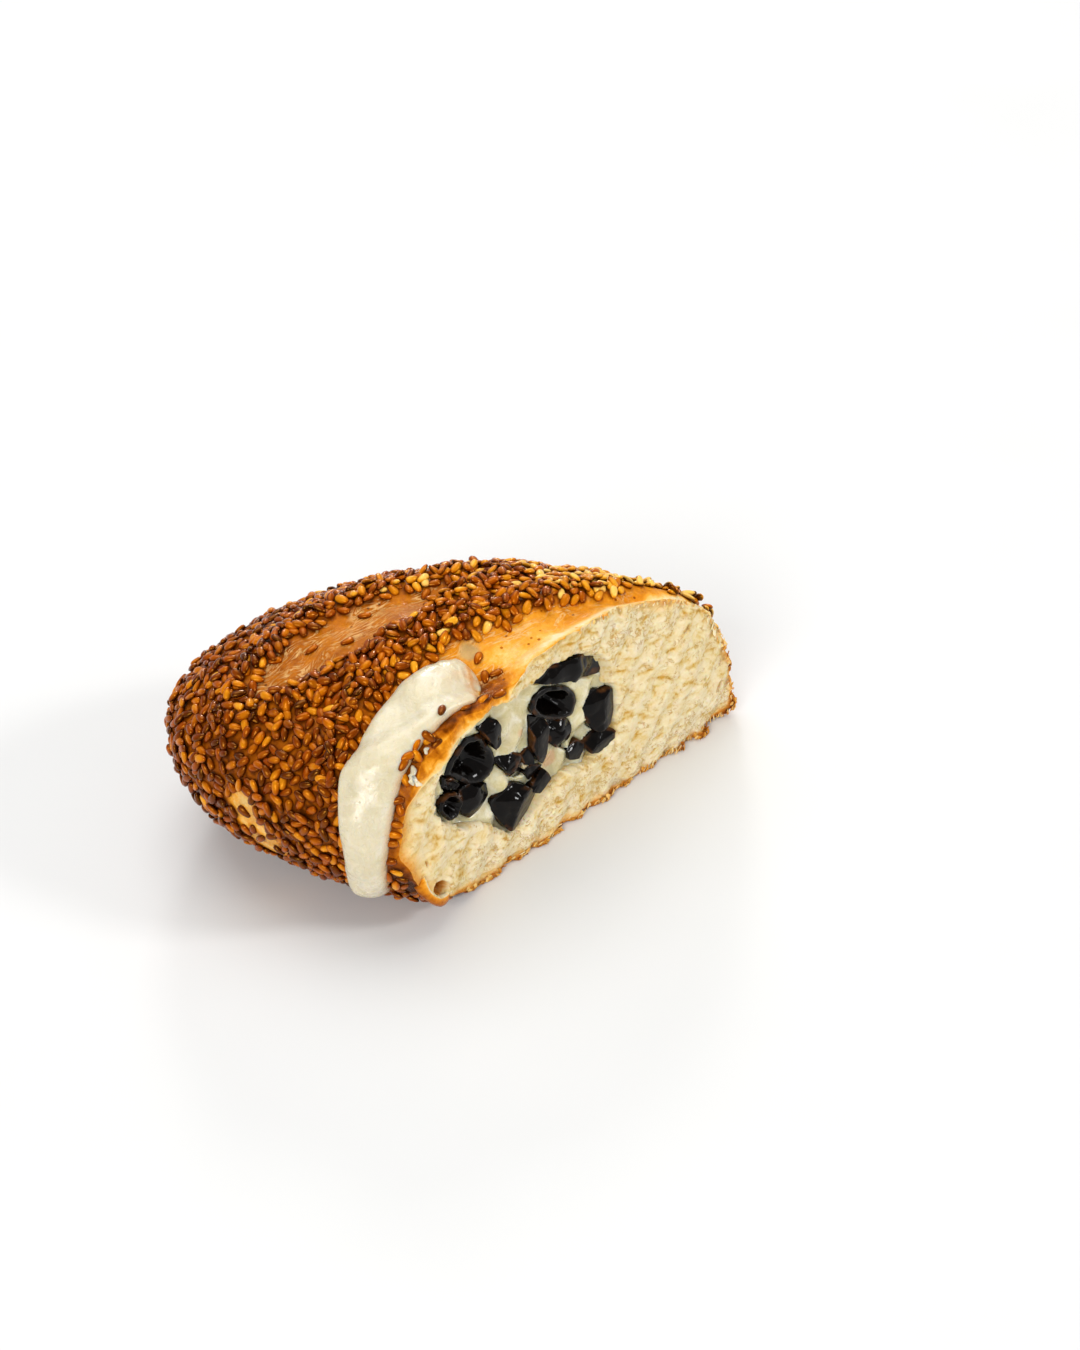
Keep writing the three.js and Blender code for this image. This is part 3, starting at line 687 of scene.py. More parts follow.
class Sesame:
    """Seeds as they land: each finds the turn that overlaps its neighbours least, then lies on them."""

    def __init__(self):
        self.cells = {}
        self.seeds = []

    def neighbours(self, cell):
        steps = np.ndindex(3, 3, 3)
        found = [self.cells.get((cell[0] + i - 1, cell[1] + j - 1, cell[2] + k - 1), []) for i, j, k in steps]
        return [self.seeds[number] for numbers in found for number in numbers]

    def drop(self, point, normal, spacing, lift, lean):
        cell = tuple(np.floor(point / SEED_CELL).astype(int))
        near = self.neighbours(cell)
        size = 1 + SEED_SPREAD * chance.uniform(-0.5, 0.5)
        axes = seed_axes(normal, chance.uniform(0, math.pi, SEED_TURNS))
        overlap = np.zeros(SEED_TURNS)
        if near:
            middles = np.array([seed["point"] for seed in near])
            if np.min(np.linalg.norm(middles - point, axis=1)) < spacing:
                return
            reach = SEED["length"] * SEED_LOBE
            lobes = np.array([seed["point"] + sign * reach * seed["axis"]
                              for seed in near for sign in (-1, 1)])
            for sign in (-1, 1):
                gaps = np.linalg.norm((point + sign * reach * axes)[:, None] - lobes, axis=2)
                overlap += np.sum(np.clip(SEED["width"] * SEED_TOUCH - gaps, 0, None), axis=1)
        best = int(np.argmin(overlap))
        self.cells.setdefault(cell, []).append(len(self.seeds))
        self.seeds.append({
            "point": point, "normal": normal, "axis": axes[best] * chance.choice([-1, 1]), "size": size,
            "lift": lift + min(0.9, 0.42 * overlap[best]), "lean": lean * chance.uniform(-1, 1),
            "roll": lean * 1.4 * chance.uniform(-1, 1), "tone": chance.uniform() + 0.5 * roast_at(point),
            "kind": np.clip(chance.uniform() - roast_at(point), 0, 0.99),
        })


def scatter_sesame():
    """One layer all over the seeded crust, then a second one on the heaps."""
    points = random_crust_points(SEED_TRIES)
    x, y, z = points.T
    keep = (
        (z > 0.8)
        & (y > CUT_Y + crumb_front(x, z) + 1.2)
        & (distance_to_run(points) > 0.2)
        & (seeded_share(points) > chance.uniform(0.1, 0.9, len(points)))
        & (glazed_strip(points)[0] * smooth(7, 15, z) < chance.uniform(0.1, 1.08, len(points)))
        & (0.45 * sparse_flank(points) < chance.uniform(0, 1, len(points)))
        & (pale_patch(points) < chance.uniform(0.1, 1.02, len(points)))
    )
    points = points[keep]
    normals = crust_normals(points)
    ground = Sesame()
    for point, normal, depth in zip(points, normals, 0.35 * glazed_strip(points)[0]):
        ground.drop(point, normal, SEED_SPACING, SEED_SEAT - depth, 0.26)
    heaps = Sesame()
    heaped = heaped_share(points) > chance.uniform(0.25, 1.1, len(points))
    for point, normal in zip(points[heaped], normals[heaped]):
        heaps.drop(point, normal, HEAP_SPACING, SEED_SEAT + HEAP_LIFT, 0.6)
    return ground.seeds, heaps.seeds


LOOSE_SEEDS = [                      # x, y, turn in degrees, kind, sunk: single seeds on the bare scores
    (-16.1, 2.1, 10, 0.5, 0), (-25.4, -2.4, 20, 0.3, 0.1), (-31, 3.5, 60, 0.5, 0.1), (-20.5, 9.2, 30, 0.8, 0),
    (-11.2, -34.7, 20, 0.65, 0), (-13.4, -33.5, 80, 0.9, 0.2), (-11.6, -29.7, 60, 0.4, 0),
    (-38, 8, 0, 0.6, 0.2), (6, -8, 20, 0.5, 0), (-2, -3, 50, 0.2, 0), (14, -28, 10, 0.2, 0.1),
    (-15.6, -40, 20, 0.8, 0.3),
]
RUN_SEEDS = [                        # x, y, z, turn, kind, sunk: seeds caught in the tongue of cheese
    (-29.1, -36.5, 49.7, 75, 0.95, 0.25), (-37.8, -37, 45.8, 75, 0.1, 0.8),
    (-40.7, -37.2, 44.4, 10, 0.6, 0.2), (-42, -37.5, 42.9, 50, 0.8, 0.3),
]


def single_seed(point, normal, turn, kind, sunk):
    axis = seed_axes(normal, np.radians([turn]))[0]
    return {"point": point, "normal": normal, "axis": axis, "size": 1.0, "lift": SEED_SEAT - sunk,
            "lean": 0.05, "roll": 0.1, "tone": 0.5, "kind": kind}


def loose_seeds():
    """Seeds that lie alone on the bare scores and in the tongue of cheese."""
    seeds = []
    for x, y, *given in LOOSE_SEEDS:
        point = np.array([[x, y, ROLL_HEIGHT]])
        for _ in range(4):
            point[0, :2] = x, y
            point = crust_under(point)
        seeds.append(single_seed(point[0], crust_normals(point)[0], *given))
    shares, sides = np.meshgrid(np.linspace(0, 1, 120), np.linspace(-0.95, 0.95, 40), indexing="ij")
    top = run_point(shares.ravel(), sides.ravel())
    for x, y, z, *given in RUN_SEEDS:
        point = top[np.argmin(np.linalg.norm(top - np.array([x, y, z]), axis=1))]
        seeds.append(single_seed(point, crust_normals(crust_under(point[None]))[0], *given))
    return seeds


# ---------------------------------------------------------------- the bread

GLAZE_RISE = 0.42                    # egg wash drawn up round each seed
GLAZE_REACH = 1.25
SEED_PAINTED_SHADE = 0.3                     # painted shade: the crust is drawn darker round each seed
COLUMNS = 960                        # round the cut
CRUMB_ROWS = 146
CRUST_ROWS = 176
CORE_ROWS = 14
HALF_AT_SHARES = [0.11, 0.58, 0.8, 0.9, 0.95]     # the crust's columns halve here on the way to its far pole


def glaze_overrun(x, z):
    """How far the glazed crust turns over the edge of the cut, by the tongue of cheese, in millimetres."""
    reach = 3.2 + 3.2 * np.exp(-(((z - 38.5) / 5.5) ** 2))
    uneven = 1 + 0.25 * cloud(np.stack([x, z], axis=-1), 4, 143)
    return reach * smooth(-9, -16, x) * smooth(-46, -38, x) * smooth(5, 19, z) * uneven


def ragged(points):
    """The torn edge of the crust, before or behind the cut face."""
    x, _, z = points.T
    far = smooth(30, 55, x)
    low = smooth(8, 2, z) * smooth(-40, -25, x)
    top = smooth(40, 46, z) * smooth(-4, 6, x)
    tears = cloud(points[:, [0, 2]], 3.2, 141) + 0.6 * cloud(points[:, [0, 2]], 1.2, 142)
    return (0.22 + 0.75 * far + 0.5 * low + 0.8 * top) * tears + 0.25 * glaze_overrun(x, z)


def rim_points(azimuth, polar):
    return rest_on_table(crust_points(from_polar(azimuth, polar)))


def find_rim(azimuth):
    """The polar angles at which the crust meets the cut face."""
    low = np.full(azimuth.shape, 0.05)
    high = np.full(azimuth.shape, 1.7)
    for _ in range(26):
        polar = (low + high) / 2
        points = rim_points(azimuth, polar)
        beyond = points[:, 1] < CUT_Y + crumb_front(points[:, 0], points[:, 2]) + ragged(points)
        low = np.where(beyond, polar, low)
        high = np.where(beyond, high, polar)
    return (low + high) / 2


def even_azimuths(count):
    """Azimuths whose rim points lie evenly along the outline of the cut, and their polar angles."""
    fine = np.linspace(0, 2 * math.pi, 3001)
    steps = np.linalg.norm(np.diff(rim_points(fine, find_rim(fine)), axis=0), axis=1)
    length = np.concatenate([[0], np.cumsum(steps)])
    azimuth = np.interp(np.arange(count) / count * length[-1], length, fine)
    return azimuth, find_rim(azimuth)


def hollow_edge(angles):
    """The rim of the hollow at angles about the core's centre, x and z."""
    rim = closed_curve(HOLLOW_RIM, 24) - CORE_CENTRE
    angle = np.arctan2(rim[:, 1], rim[:, 0])
    order = np.argsort(angle)
    radius = np.interp(angles, angle[order], np.hypot(*rim.T)[order], period=2 * math.pi)
    return CORE_CENTRE + radius[:, None] * np.stack([np.cos(angles), np.sin(angles)], axis=1)


def flakes(x, z, size, tilt, salt):
    """Overlapping torn flakes seen face on, from about 0 to 1: the highest of many tilted soft discs."""
    cell = np.floor(np.stack([x, z], axis=-1) / size).astype(np.int64)
    highest = np.full(x.shape, -1.0)
    for step in np.ndindex(3, 3):
        near = cell + np.array(step) - 1
        centre = [(near[..., i] + cell_chance(near, salt + i)) * size for i in (0, 1)]
        lean = 2 * math.pi * cell_chance(near, salt + 2)
        dx = (x - centre[0]) / size
        dz = (z - centre[1]) / size
        slope = tilt * (dx * np.cos(lean) + dz * np.sin(lean))
        across = np.hypot(dx, dz)
        edge = 4 * np.clip(across - 0.6, 0, None) ** 1.5
        highest = np.maximum(highest, 0.5 * cell_chance(near, salt + 3) + slope - 0.4 * across**2 - edge)
    return np.clip(highest, -0.6, 1.2)


CRUMB_HOLES = [                      # tears and pockets: x, z, half length, half width, turn, depth
    (44.1, 34.2, 1.5, 0.5, 32, 2.2), (56.7, 10.3, 1.7, 1.1, 60, 2.4), (-38.9, 8.9, 2.6, 1.9, -28, 4.2),
    (-30.6, 9.5, 0.6, 0.4, 0, 1.2), (-41.1, 17.3, 0.7, 0.4, 80, 1.2), (21.7, 35, 0.4, 0.3, 0, 0.9),
    (29, 24.1, 0.35, 0.3, 0, 0.9), (33.7, 38.6, 0.6, 0.3, 70, 1.0), (-20, 7, 0.5, 0.35, 20, 1.0),
    (47, 26, 0.8, 0.3, 60, 0.9), (38, 30, 0.9, 0.3, 30, 0.8), (50, 17, 0.9, 0.4, 75, 1.1),
]
CRUMB_LIE = math.radians(-8)         # which way the scales of the crumb lie


def crumb_holes(x, z):
    """How deep the crumb is torn open at a place, in millimetres."""
    deep = np.zeros(x.shape)
    for hole_x, hole_z, length, width, turn, depth in CRUMB_HOLES:
        cos, sin = math.cos(math.radians(turn)), math.sin(math.radians(turn))
        along = (x - hole_x) * cos + (z - hole_z) * sin
        bend = (z - hole_z) * cos - (x - hole_x) * sin - 0.25 * along**2 / length
        deep = np.maximum(deep, depth * smooth(1.15, 0.55, np.hypot(along / length, bend / width)))
    return deep


def crumb_relief(x, z):
    """Fine relief of the torn crumb, towards the viewer, in millimetres: small soft scales that overlap, and
    stringy swirls low down."""
    place = np.stack([x, z], axis=-1)
    cos, sin = math.cos(CRUMB_LIE), math.sin(CRUMB_LIE)
    along = (x * cos + z * sin) / 1.6 + 0.9 * cloud(place, 3, 31) + 0.25 * cloud(place, 1.5, 32)
    across = z * cos - x * sin + 0.8 * cloud(place, 4, 33) + 0.25 * cloud(place, 1.5, 34)
    relief = 0.12 + 0.05 * rough(place, 0.9, 2, 71)
    for shift, size, tilt, salt, height in (
        (0, 2.3, 0.8, 41, 0.17), (7, 1.4, 0.9, 51, 0.13), (3, 0.9, 0.8, 61, 0.06 + 0.1 * shredded(x, z)),
    ):
        relief = relief + height * flakes(along + shift, across, size, tilt, salt)
    shreds = smooth(0.1, 0.5, cloud(place, 9, 73) + smooth(14, 4, z) - 0.3)
    swirl = cloud(place, 7, 75) * 5 + 0.5 * x - 0.9 * z
    return relief + 0.1 * shreds * np.abs(np.sin(2.6 * swirl + 1.5 * cloud(place, 2.2, 77)))


def shredded(x, z):
    """Where the knife tore the crumb most: low down and along the top at the right."""
    return np.maximum(smooth(13, 5, z), smooth(35, 43, z) * smooth(4, 20, x))


def glazed(points, seed_tree):
    """The crust with the egg wash drawn up round the seeds, and how close it lies to them, from 0 to 1."""
    distance = np.array([seed_tree.find(point)[2] for point in points])
    rise = GLAZE_RISE * np.exp(-((distance / GLAZE_REACH) ** 2))
    wrinkles = (0.09 + 0.16 * glazed_strip(points)[0]) * rough(points, 2.4, 3, 91)
    lifted = points + unit(points - HEART) * (rise + wrinkles)[:, None]
    return np.where(points[:, 2:] < 0.02, points, lifted), smooth(1.6, 0.95, distance)


def toast_at(x, z, to_rim):
    """How toasted the crumb is near its rim: a thin flaky golden crust below, hardly any at the top."""
    place = np.stack([x, z], axis=-1)
    low = smooth(9, 3, z)
    right = smooth(48, 58, x)
    top = smooth(36, 44, z) * smooth(10, 36, x)
    left = smooth(-34, -39, x) * smooth(8, 13, z)
    width = 0.35
    for share, reach, uneven, grain, salt in (
        (low, 1.5, 0.9, 2.6, 133), (right, 0.6, 1, 3.4, 135), (top, 2.4, 1.1, 2.2, 137),
        (left, 2.6, 0.5, 5, 139),
    ):
        width = width + reach * share * (1 + uneven * cloud(place, grain, salt))
    strength = 0.1 + 0.6 * low + 0.3 * right * smooth(34, 24, z) + 0.3 * top + 0.4 * left
    return np.exp(-((to_rim / np.maximum(width, 0.15)) ** 1.5)) * strength


def crust_row(share, azimuth, polar, seed_tree):
    """A ring of the crust, from the rim of the cut at share 0 towards the far pole, and its values."""
    step = 2 ** sum(share > place for place in HALF_AT_SHARES)
    angle = polar + (math.pi - polar) * share
    row = rim_points(azimuth[::step], angle[::step])
    browning, bare, wet, film = crust_browning(row)
    row, seed_shade_share = glazed(row, seed_tree)
    toast = toast_at(row[:, 0], row[:, 2], 9 * share)
    # The browning value here also carries painted shade round each seed.
    return rest_on_table(row), {"browning": browning + SEED_PAINTED_SHADE * seed_shade_share, "bare": bare, "wet": wet,
                                "film": film, "relief": 0.5, "toast": toast}


def crumb_row(share, rim, inner):
    """A ring of the cut face, from the rim of the cut to the rim of the hollow at share 1, and its values."""
    outer = rim[:, [0, 2]]
    spread = np.linalg.norm(outer - inner, axis=1)
    overrun = glaze_overrun(*outer.T)
    x, z = (outer + (inner - outer) * share).T
    to_rim = spread * share
    relief = crumb_relief(x, z)
    holes = crumb_holes(x, z)
    depth = crumb_front(x, z) - (relief - 0.3) * smooth(0, 1.2, to_rim - overrun) + holes
    depth = depth + 1.1 * np.exp(-spread * (1 - share) / 0.5)
    depth = depth + (rim[:, 1] - CUT_Y - crumb_front(*outer.T)) * np.exp(-to_rim / 0.8)
    # The deeper a hole, the more golden and brown its crumb: painted shade in the holes.
    toast = toast_at(x, z, to_rim) + 0.45 * smooth(0.3, 1.4, holes) + 0.3 * smooth(2.6, 3.8, holes)
    over = to_rim / np.maximum(overrun, 0.01)
    return np.stack([x, CUT_Y + depth, z], axis=1), {
        "relief": np.clip(1.9 * relief - 0.22 * np.exp(-to_rim / 3), 0, 1), "toast": toast,
        "browning": 0.36 * smooth(1.05, 0.0, over) + 0.1, "wet": smooth(1, 0.5, over) * smooth(0, 1, overrun),
        "shred": shredded(x, z),
    }


def core_ring(flat, depth):
    """The ring of the hollow at a depth behind the knife's plane, from its rim in x and z."""
    ring = CORE_CENTRE + (flat - CORE_CENTRE) * np.interp(depth, CORE_DEPTHS, CORE_SHARES)
    return np.stack([ring[:, 0] + CORE_DRIFT * depth, np.full(len(flat), CUT_Y + depth), ring[:, 1]], axis=1)


def make_bread(seeds):
    """One closed skin: rings of crust from the cut to the far pole, and rings of crumb from the cut's rim
    over the rim of the hollow to its end."""
    seed_tree = kdtree.KDTree(len(seeds))
    for i, seed in enumerate(seeds):
        seed_tree.insert(seed["point"], i)
    seed_tree.balance()
    azimuth, polar = even_azimuths(COLUMNS)
    crust = [crust_row(j / CRUST_ROWS, azimuth, polar, seed_tree) for j in range(CRUST_ROWS)]
    rim = crust[0][0]
    inner = hollow_edge(np.arctan2(rim[:, 2] - CORE_CENTRE[1], rim[:, 0] - CORE_CENTRE[0]))
    teeth = 1 + 0.02 * cloud(inner, 0.9, 131) + 0.012 * cloud(inner, 2.4, 132)
    inner = CORE_CENTRE + (inner - CORE_CENTRE) * teeth[:, None]
    crumb = [crumb_row(j / CRUMB_ROWS, rim, inner) for j in range(1, CRUMB_ROWS + 1)]
    depths = 2 + (CORE_DEPTHS[-1] - 2) * (np.arange(1, CORE_ROWS + 1) / CORE_ROWS) ** 1.6
    core = [(core_ring(inner, depth), {"relief": 0.3}) for depth in depths]
    pole = crust_points(np.array([[0.0, 1.0, 0.0]]))
    back = core_ring(CORE_CENTRE[None], CORE_DEPTHS[-1] + 1.5)
    rows = [*crust, (pole, {"browning": 0.72}), *crumb, *core, (back, {"relief": 0.2})]
    ends = np.cumsum([len(row) for row, _ in rows])
    numbers = [np.arange(end - len(row), end) for end, (row, _) in zip(ends, rows)]
    crust_faces = stitch_rows(numbers[:CRUST_ROWS])
    crust_faces += close_end(numbers[CRUST_ROWS - 1], int(numbers[CRUST_ROWS][0]))
    inside = [numbers[0], *numbers[CRUST_ROWS + 1:-1]]
    crumb_faces = stitch_rows(inside) + close_end(inside[-1], int(ends[-1]) - 1)

    outer = rim[:, [0, 2]]
    middles = (np.arange(CRUMB_ROWS)[:, None] + 0.5) / CRUMB_ROWS * np.linalg.norm(outer - inner, axis=1)
    kinds = np.ones(len(crust_faces) + len(crumb_faces), np.int32)
    kinds[:len(crust_faces)] = 0
    kinds[len(crust_faces):][:middles.size] = (middles > glaze_overrun(*outer.T)).ravel()
    values = {
        key: np.concatenate([np.broadcast_to(given.get(key, 0.0), len(row)) for row, given in rows])
        for key in ("browning", "bare", "wet", "film", "relief", "toast", "shred")
    }
    faces = [face[::-1] for face in crust_faces] + crumb_faces
    make_piece("crust_and_crumb", np.concatenate([row for row, _ in rows]), faces,
               [egg_washed_crust(), torn_crumb()], "bread", "bread", values, kinds)


GLAZE_PATCHES = [                    # x, y, reach, change of browning, where the glaze ran thin or gathered
    (-7.5, -33.8, 4.5, -0.16), (2.8, -40.2, 5, -0.12), (-14, -37.3, 3, 0.26), (-11, -36, 2.4, 0.12),
    (30, -38, 6, 0.08), (14, -33, 5, 0.06), (45, -32, 6, 0.16), (20, -40, 4, -0.06),
]
OIL_POCKET = (-11.3, -26.9, 3)       # x, y, reach: cheese gone clear over the crust above the tongue's head
BROWNING = {"crust": 0.59, "upper_score": 0.52, "lower_score": 0.34, "strip_edge": 0.38}


def crust_browning(points):
    """How brown the crust is, from 0, cream, to 1, dark, how bare of seeds, how wet, how filmed with fat."""
    x, y, z = points.T
    seeded = seeded_share(points)
    upper = on_top(points) * (1 - smooth(-2, 1, outside_score(UPPER_SCORE, points)))
    lower = on_top(points) * (1 - smooth(-2, 1, outside_score(LOWER_SCORE, points))) * (1 - upper)
    patch = pale_patch(points)
    bare = np.maximum((1 - seeded) * np.clip(upper + lower, 0, 1), patch)
    slow = cloud(points, 14, 121)
    brown = BROWNING["crust"] + 0.05 * slow + 0.06 * smooth(-45, -62, x) - 0.22 * smooth(14, 44, x)
    core = BROWNING["upper_score"] + 0.04 * slow + 0.06 * smooth(-25, -45, x)
    core = core + 0.08 * smooth(-4.5, 0, outside_score(UPPER_SCORE, points))
    brown = brown + (core - brown) * upper * (1 - seeded)
    gold = BROWNING["lower_score"] + 0.06 * slow - 0.12 * smooth(6, 0, y - CUT_Y)
    for patch_x, patch_y, reach, change in GLAZE_PATCHES:
        gold = gold + change * bump(x, y, patch_x, patch_y, reach)
    brown = brown + (gold - brown) * lower * (1 - seeded)
    brown = brown - 0.42 * patch * (1 + 0.35 * cloud(points, 3, 131)) - 0.06 * sparse_flank(points)
    strip, from_cut = glazed_strip(points)
    # Darker away from the cut, towards the tongue of cheese: partly browner pooled glaze, partly the tongue's
    # painted shadow.
    edge = BROWNING["strip_edge"] + 0.42 * smooth(-0.2, 1.7, from_cut + 0.8 * cloud(points, 3, 123))
    edge = edge + 0.2 * rough(points, 2.2, 2, 124) - 0.1 * smooth(30, 42, z) + 0.26 * smooth(30, 18, z)
    brown = brown + (edge - brown) * strip
    rim = smooth(4.2, 0.3, from_cut + 1.1 * cloud(points, 2, 125)) * on_top(points)
    brown = brown - 0.3 * rim * (1 - strip) + 0.1 * smooth(3, 0.3, z)
    pocket_x, pocket_y, reach = OIL_POCKET
    film = smooth(reach, reach - 1.4, np.hypot(x - pocket_x, y - pocket_y) + 0.6 * cloud(points, 2, 127))
    film = np.maximum(0.8 * film * on_top(points), 0.3 * patch * smooth(-0.1, 0.4, cloud(points, 2.6, 129)))
    return brown, bare, np.maximum(strip, film), film


# ---------------------------------------------------------------- sesame

SEED_KINDS = [                       # name, share of the seeds up to it, colours from its dark to its light
    ("sesame_straw", 0.01, ["#a85600", "#cf7e08", "#e8a428", "#f8c662"]),
    ("sesame_golden", 0.2, ["#863600", "#ae5200", "#cc7404", "#e69e22"]),
    ("sesame_amber", 0.62, ["#682400", "#923c00", "#b45c00", "#d0800e"]),
    ("sesame_chestnut", 0.94, ["#501600", "#7a2e00", "#9b4a00", "#bc6806"]),
    ("sesame_dark", 1.0, ["#3c0e00", "#5a1e00", "#7a3200", "#9a4e00"]),
]
SEED_AROUND = 10
SEED_ALONG = 7


def seed_form():
    """A flattened teardrop of length 1 along X, round at -X and pointed at +X: points and faces."""
    turn = around(SEED_AROUND)
    rings = []
    for angle in math.pi * np.arange(1, SEED_ALONG) / SEED_ALONG:
        along = -math.cos(angle)
        radius = math.sin(angle) ** 0.72 * (1 - 0.2 * along) / 1.04
        height = np.sin(turn) * (1 - 0.1 * np.abs(np.cos(turn)))
        ring = [np.full(SEED_AROUND, along), radius * np.cos(turn), radius * height]
        rings.append(np.stack(ring, axis=1) / 2)
    return closed_body(rings, [[-0.5, 0, 0], [0.5, 0, 0]])


def placed_seed(form, seed):
    """The seed's own points, turned, leant and set down on the crust."""
    normal, axis, lean, roll = (seed[key] for key in ("normal", "axis", "lean", "roll"))
    side = np.cross(normal, axis)
    nose = axis * math.cos(lean) + normal * math.sin(lean)
    up = normal * math.cos(lean) - axis * math.sin(lean)
    flank = side * math.cos(roll) + up * math.sin(roll)
    up = up * math.cos(roll) - side * math.sin(roll)
    local = form * np.array(list(SEED.values())) * seed["size"]
    points = seed["point"] + normal * seed["lift"] + local @ np.array([nose, flank, up])
    points[:, 2] += max(0, 0.05 - points[:, 2].min())
    return points


def make_sesame(seeds):
    """One piece for each kind of seed, so that each keeps to its own colours."""
    form, form_faces = seed_form()
    along, _, height = form.T
    lowest = 0.0
    for name, highest, colours in SEED_KINDS:
        chosen = [seed for seed in seeds if lowest <= seed["kind"] < highest]
        lowest = highest
        points, faces = joined([(placed_seed(form, seed), form_faces) for seed in chosen])
        values = {"tone": np.repeat([seed["tone"] for seed in chosen], len(form))}
        # Per seed: darker towards the tip, painted shade round its base, a painted highlight along its top.
        for key, shares in (
            ("tip", (along + 0.5) ** 3), ("foot", smooth(0.16, -0.16, height)),
            ("crest", smooth(0.1, 0.42, height)),
        ):
            values[key] = np.tile(shares, len(chosen))
        stops = list(zip((0.0, 0.4, 0.75, 1.0), colours))
        make_piece(name, points, faces, [roasted_sesame(name, stops)], "bread", "bread", values)


# ---------------------------------------------------------------- torn crust at the edge of the cut

OUT_OF_CUT = np.array([0, -1, 0])
FLAKE = {"length": 1.9, "width": 1.1, "thickness": 0.26}
FLAKE_AROUND = 9
FLAKE_TRIES = 900
TORN_CORNER = {                      # the crust's lower corner, pulled out and curled in on itself
    "upper": [(-43.4, -42.9, 15.7), (-43.1, -43.3, 13.2), (-42.6, -43.6, 11.2), (-41.4, -43.9, 9.4),
              (-39.4, -43.7, 7.7), (-37, -42.9, 6.9), (-36.2, -41.7, 7.3)],
    "lower": [(-45.6, -42, 13.7), (-44.6, -42.4, 11), (-43.1, -42.8, 8.6), (-41.1, -43.1, 6.2),
              (-39.4, -43.1, 4.9), (-36.8, -42.4, 4.6), (-35.4, -41.4, 5.4)],
}
CORNER_STATIONS = 40
CORNER_THICKNESS = 1.1


def flake_form():
    """A thin flake of length and width 1: points and faces."""
    turn = around(FLAKE_AROUND)
    rings = [
        np.stack([reach * np.cos(turn) / 2, reach * np.sin(turn) / 2, np.full(FLAKE_AROUND, height)], axis=1)
        for reach, height in ((0.55, 0.42), (0.92, 0.3), (1.0, 0.0), (0.92, -0.3), (0.55, -0.42))
    ]
    return closed_body(rings, [[0, 0, 0.5], [0, 0, -0.5]], turned=True)


def make_crust_flakes():
    """Flakes of toasted crust along the bottom of the cut, up its far side and thinly at its upper right."""
    rim = rim_points(*even_azimuths(FLAKE_TRIES))
    x, _, z = rim.T
    low = 1.3 * smooth(6, 2, z) * smooth(-34, -26, x)
    side = 0.8 * smooth(47, 56, x) * smooth(40, 30, z)
    top = 0.5 * smooth(30, 42, z) * smooth(2, 20, x)
    form, form_faces = flake_form()
    bodies, tones = [], []
    for place in rim[0.6 * np.max([low, side, top], axis=0) > chance.uniform(0, 1, FLAKE_TRIES)]:
        inward = unit(np.array([CORE_CENTRE[0] - place[0], 0, CORE_CENTRE[1] - place[2]]))
        along = np.cross(inward, OUT_OF_CUT)
        depth = chance.uniform(-0.3, 1.0) ** 2 * 1.7
        normal = unit(OUT_OF_CUT - chance.uniform(0.0, 0.9) * inward + 0.5 * along * chance.uniform(-1, 1))
        turn = chance.uniform(-1.5, 1.5)
        axis = unit(np.cross(np.cross(normal, along * math.cos(turn) + inward * math.sin(turn)), normal))
        size = chance.uniform(0.4, 1.25) * (1 - 0.35 * smooth(28, 42, place[2]))
        bend = chance.uniform(-1.2, 1.2)
        shape = form.copy()
        shape[:, :2] *= 1 + 0.3 * cloud(shape[:, :2] * 4 + 9 * len(bodies), 1.0, 151)[:, None]
        shape = shape * np.array(list(FLAKE.values())) * size
        shape[:, 2] += bend * 0.35 * (shape[:, 0] ** 2 - 0.3)
        middle = place + inward * depth + OUT_OF_CUT * (0.1 + chance.uniform(0, 0.25))
        placed = middle + shape @ np.array([axis, np.cross(normal, axis), normal])
        placed[:, 2] += max(0, 0.03 - placed[:, 2].min())
        bodies.append((placed, form_faces))
        tones.append(0.6 - 0.25 * depth + 0.28 * chance.uniform(-1, 1) - 0.25 * smooth(20, 40, place[2]))
    make_piece("crust_flakes", *joined(bodies), [toasted_flake()], "bread", "bread",
               {"tone": np.repeat(tones, len(form))})


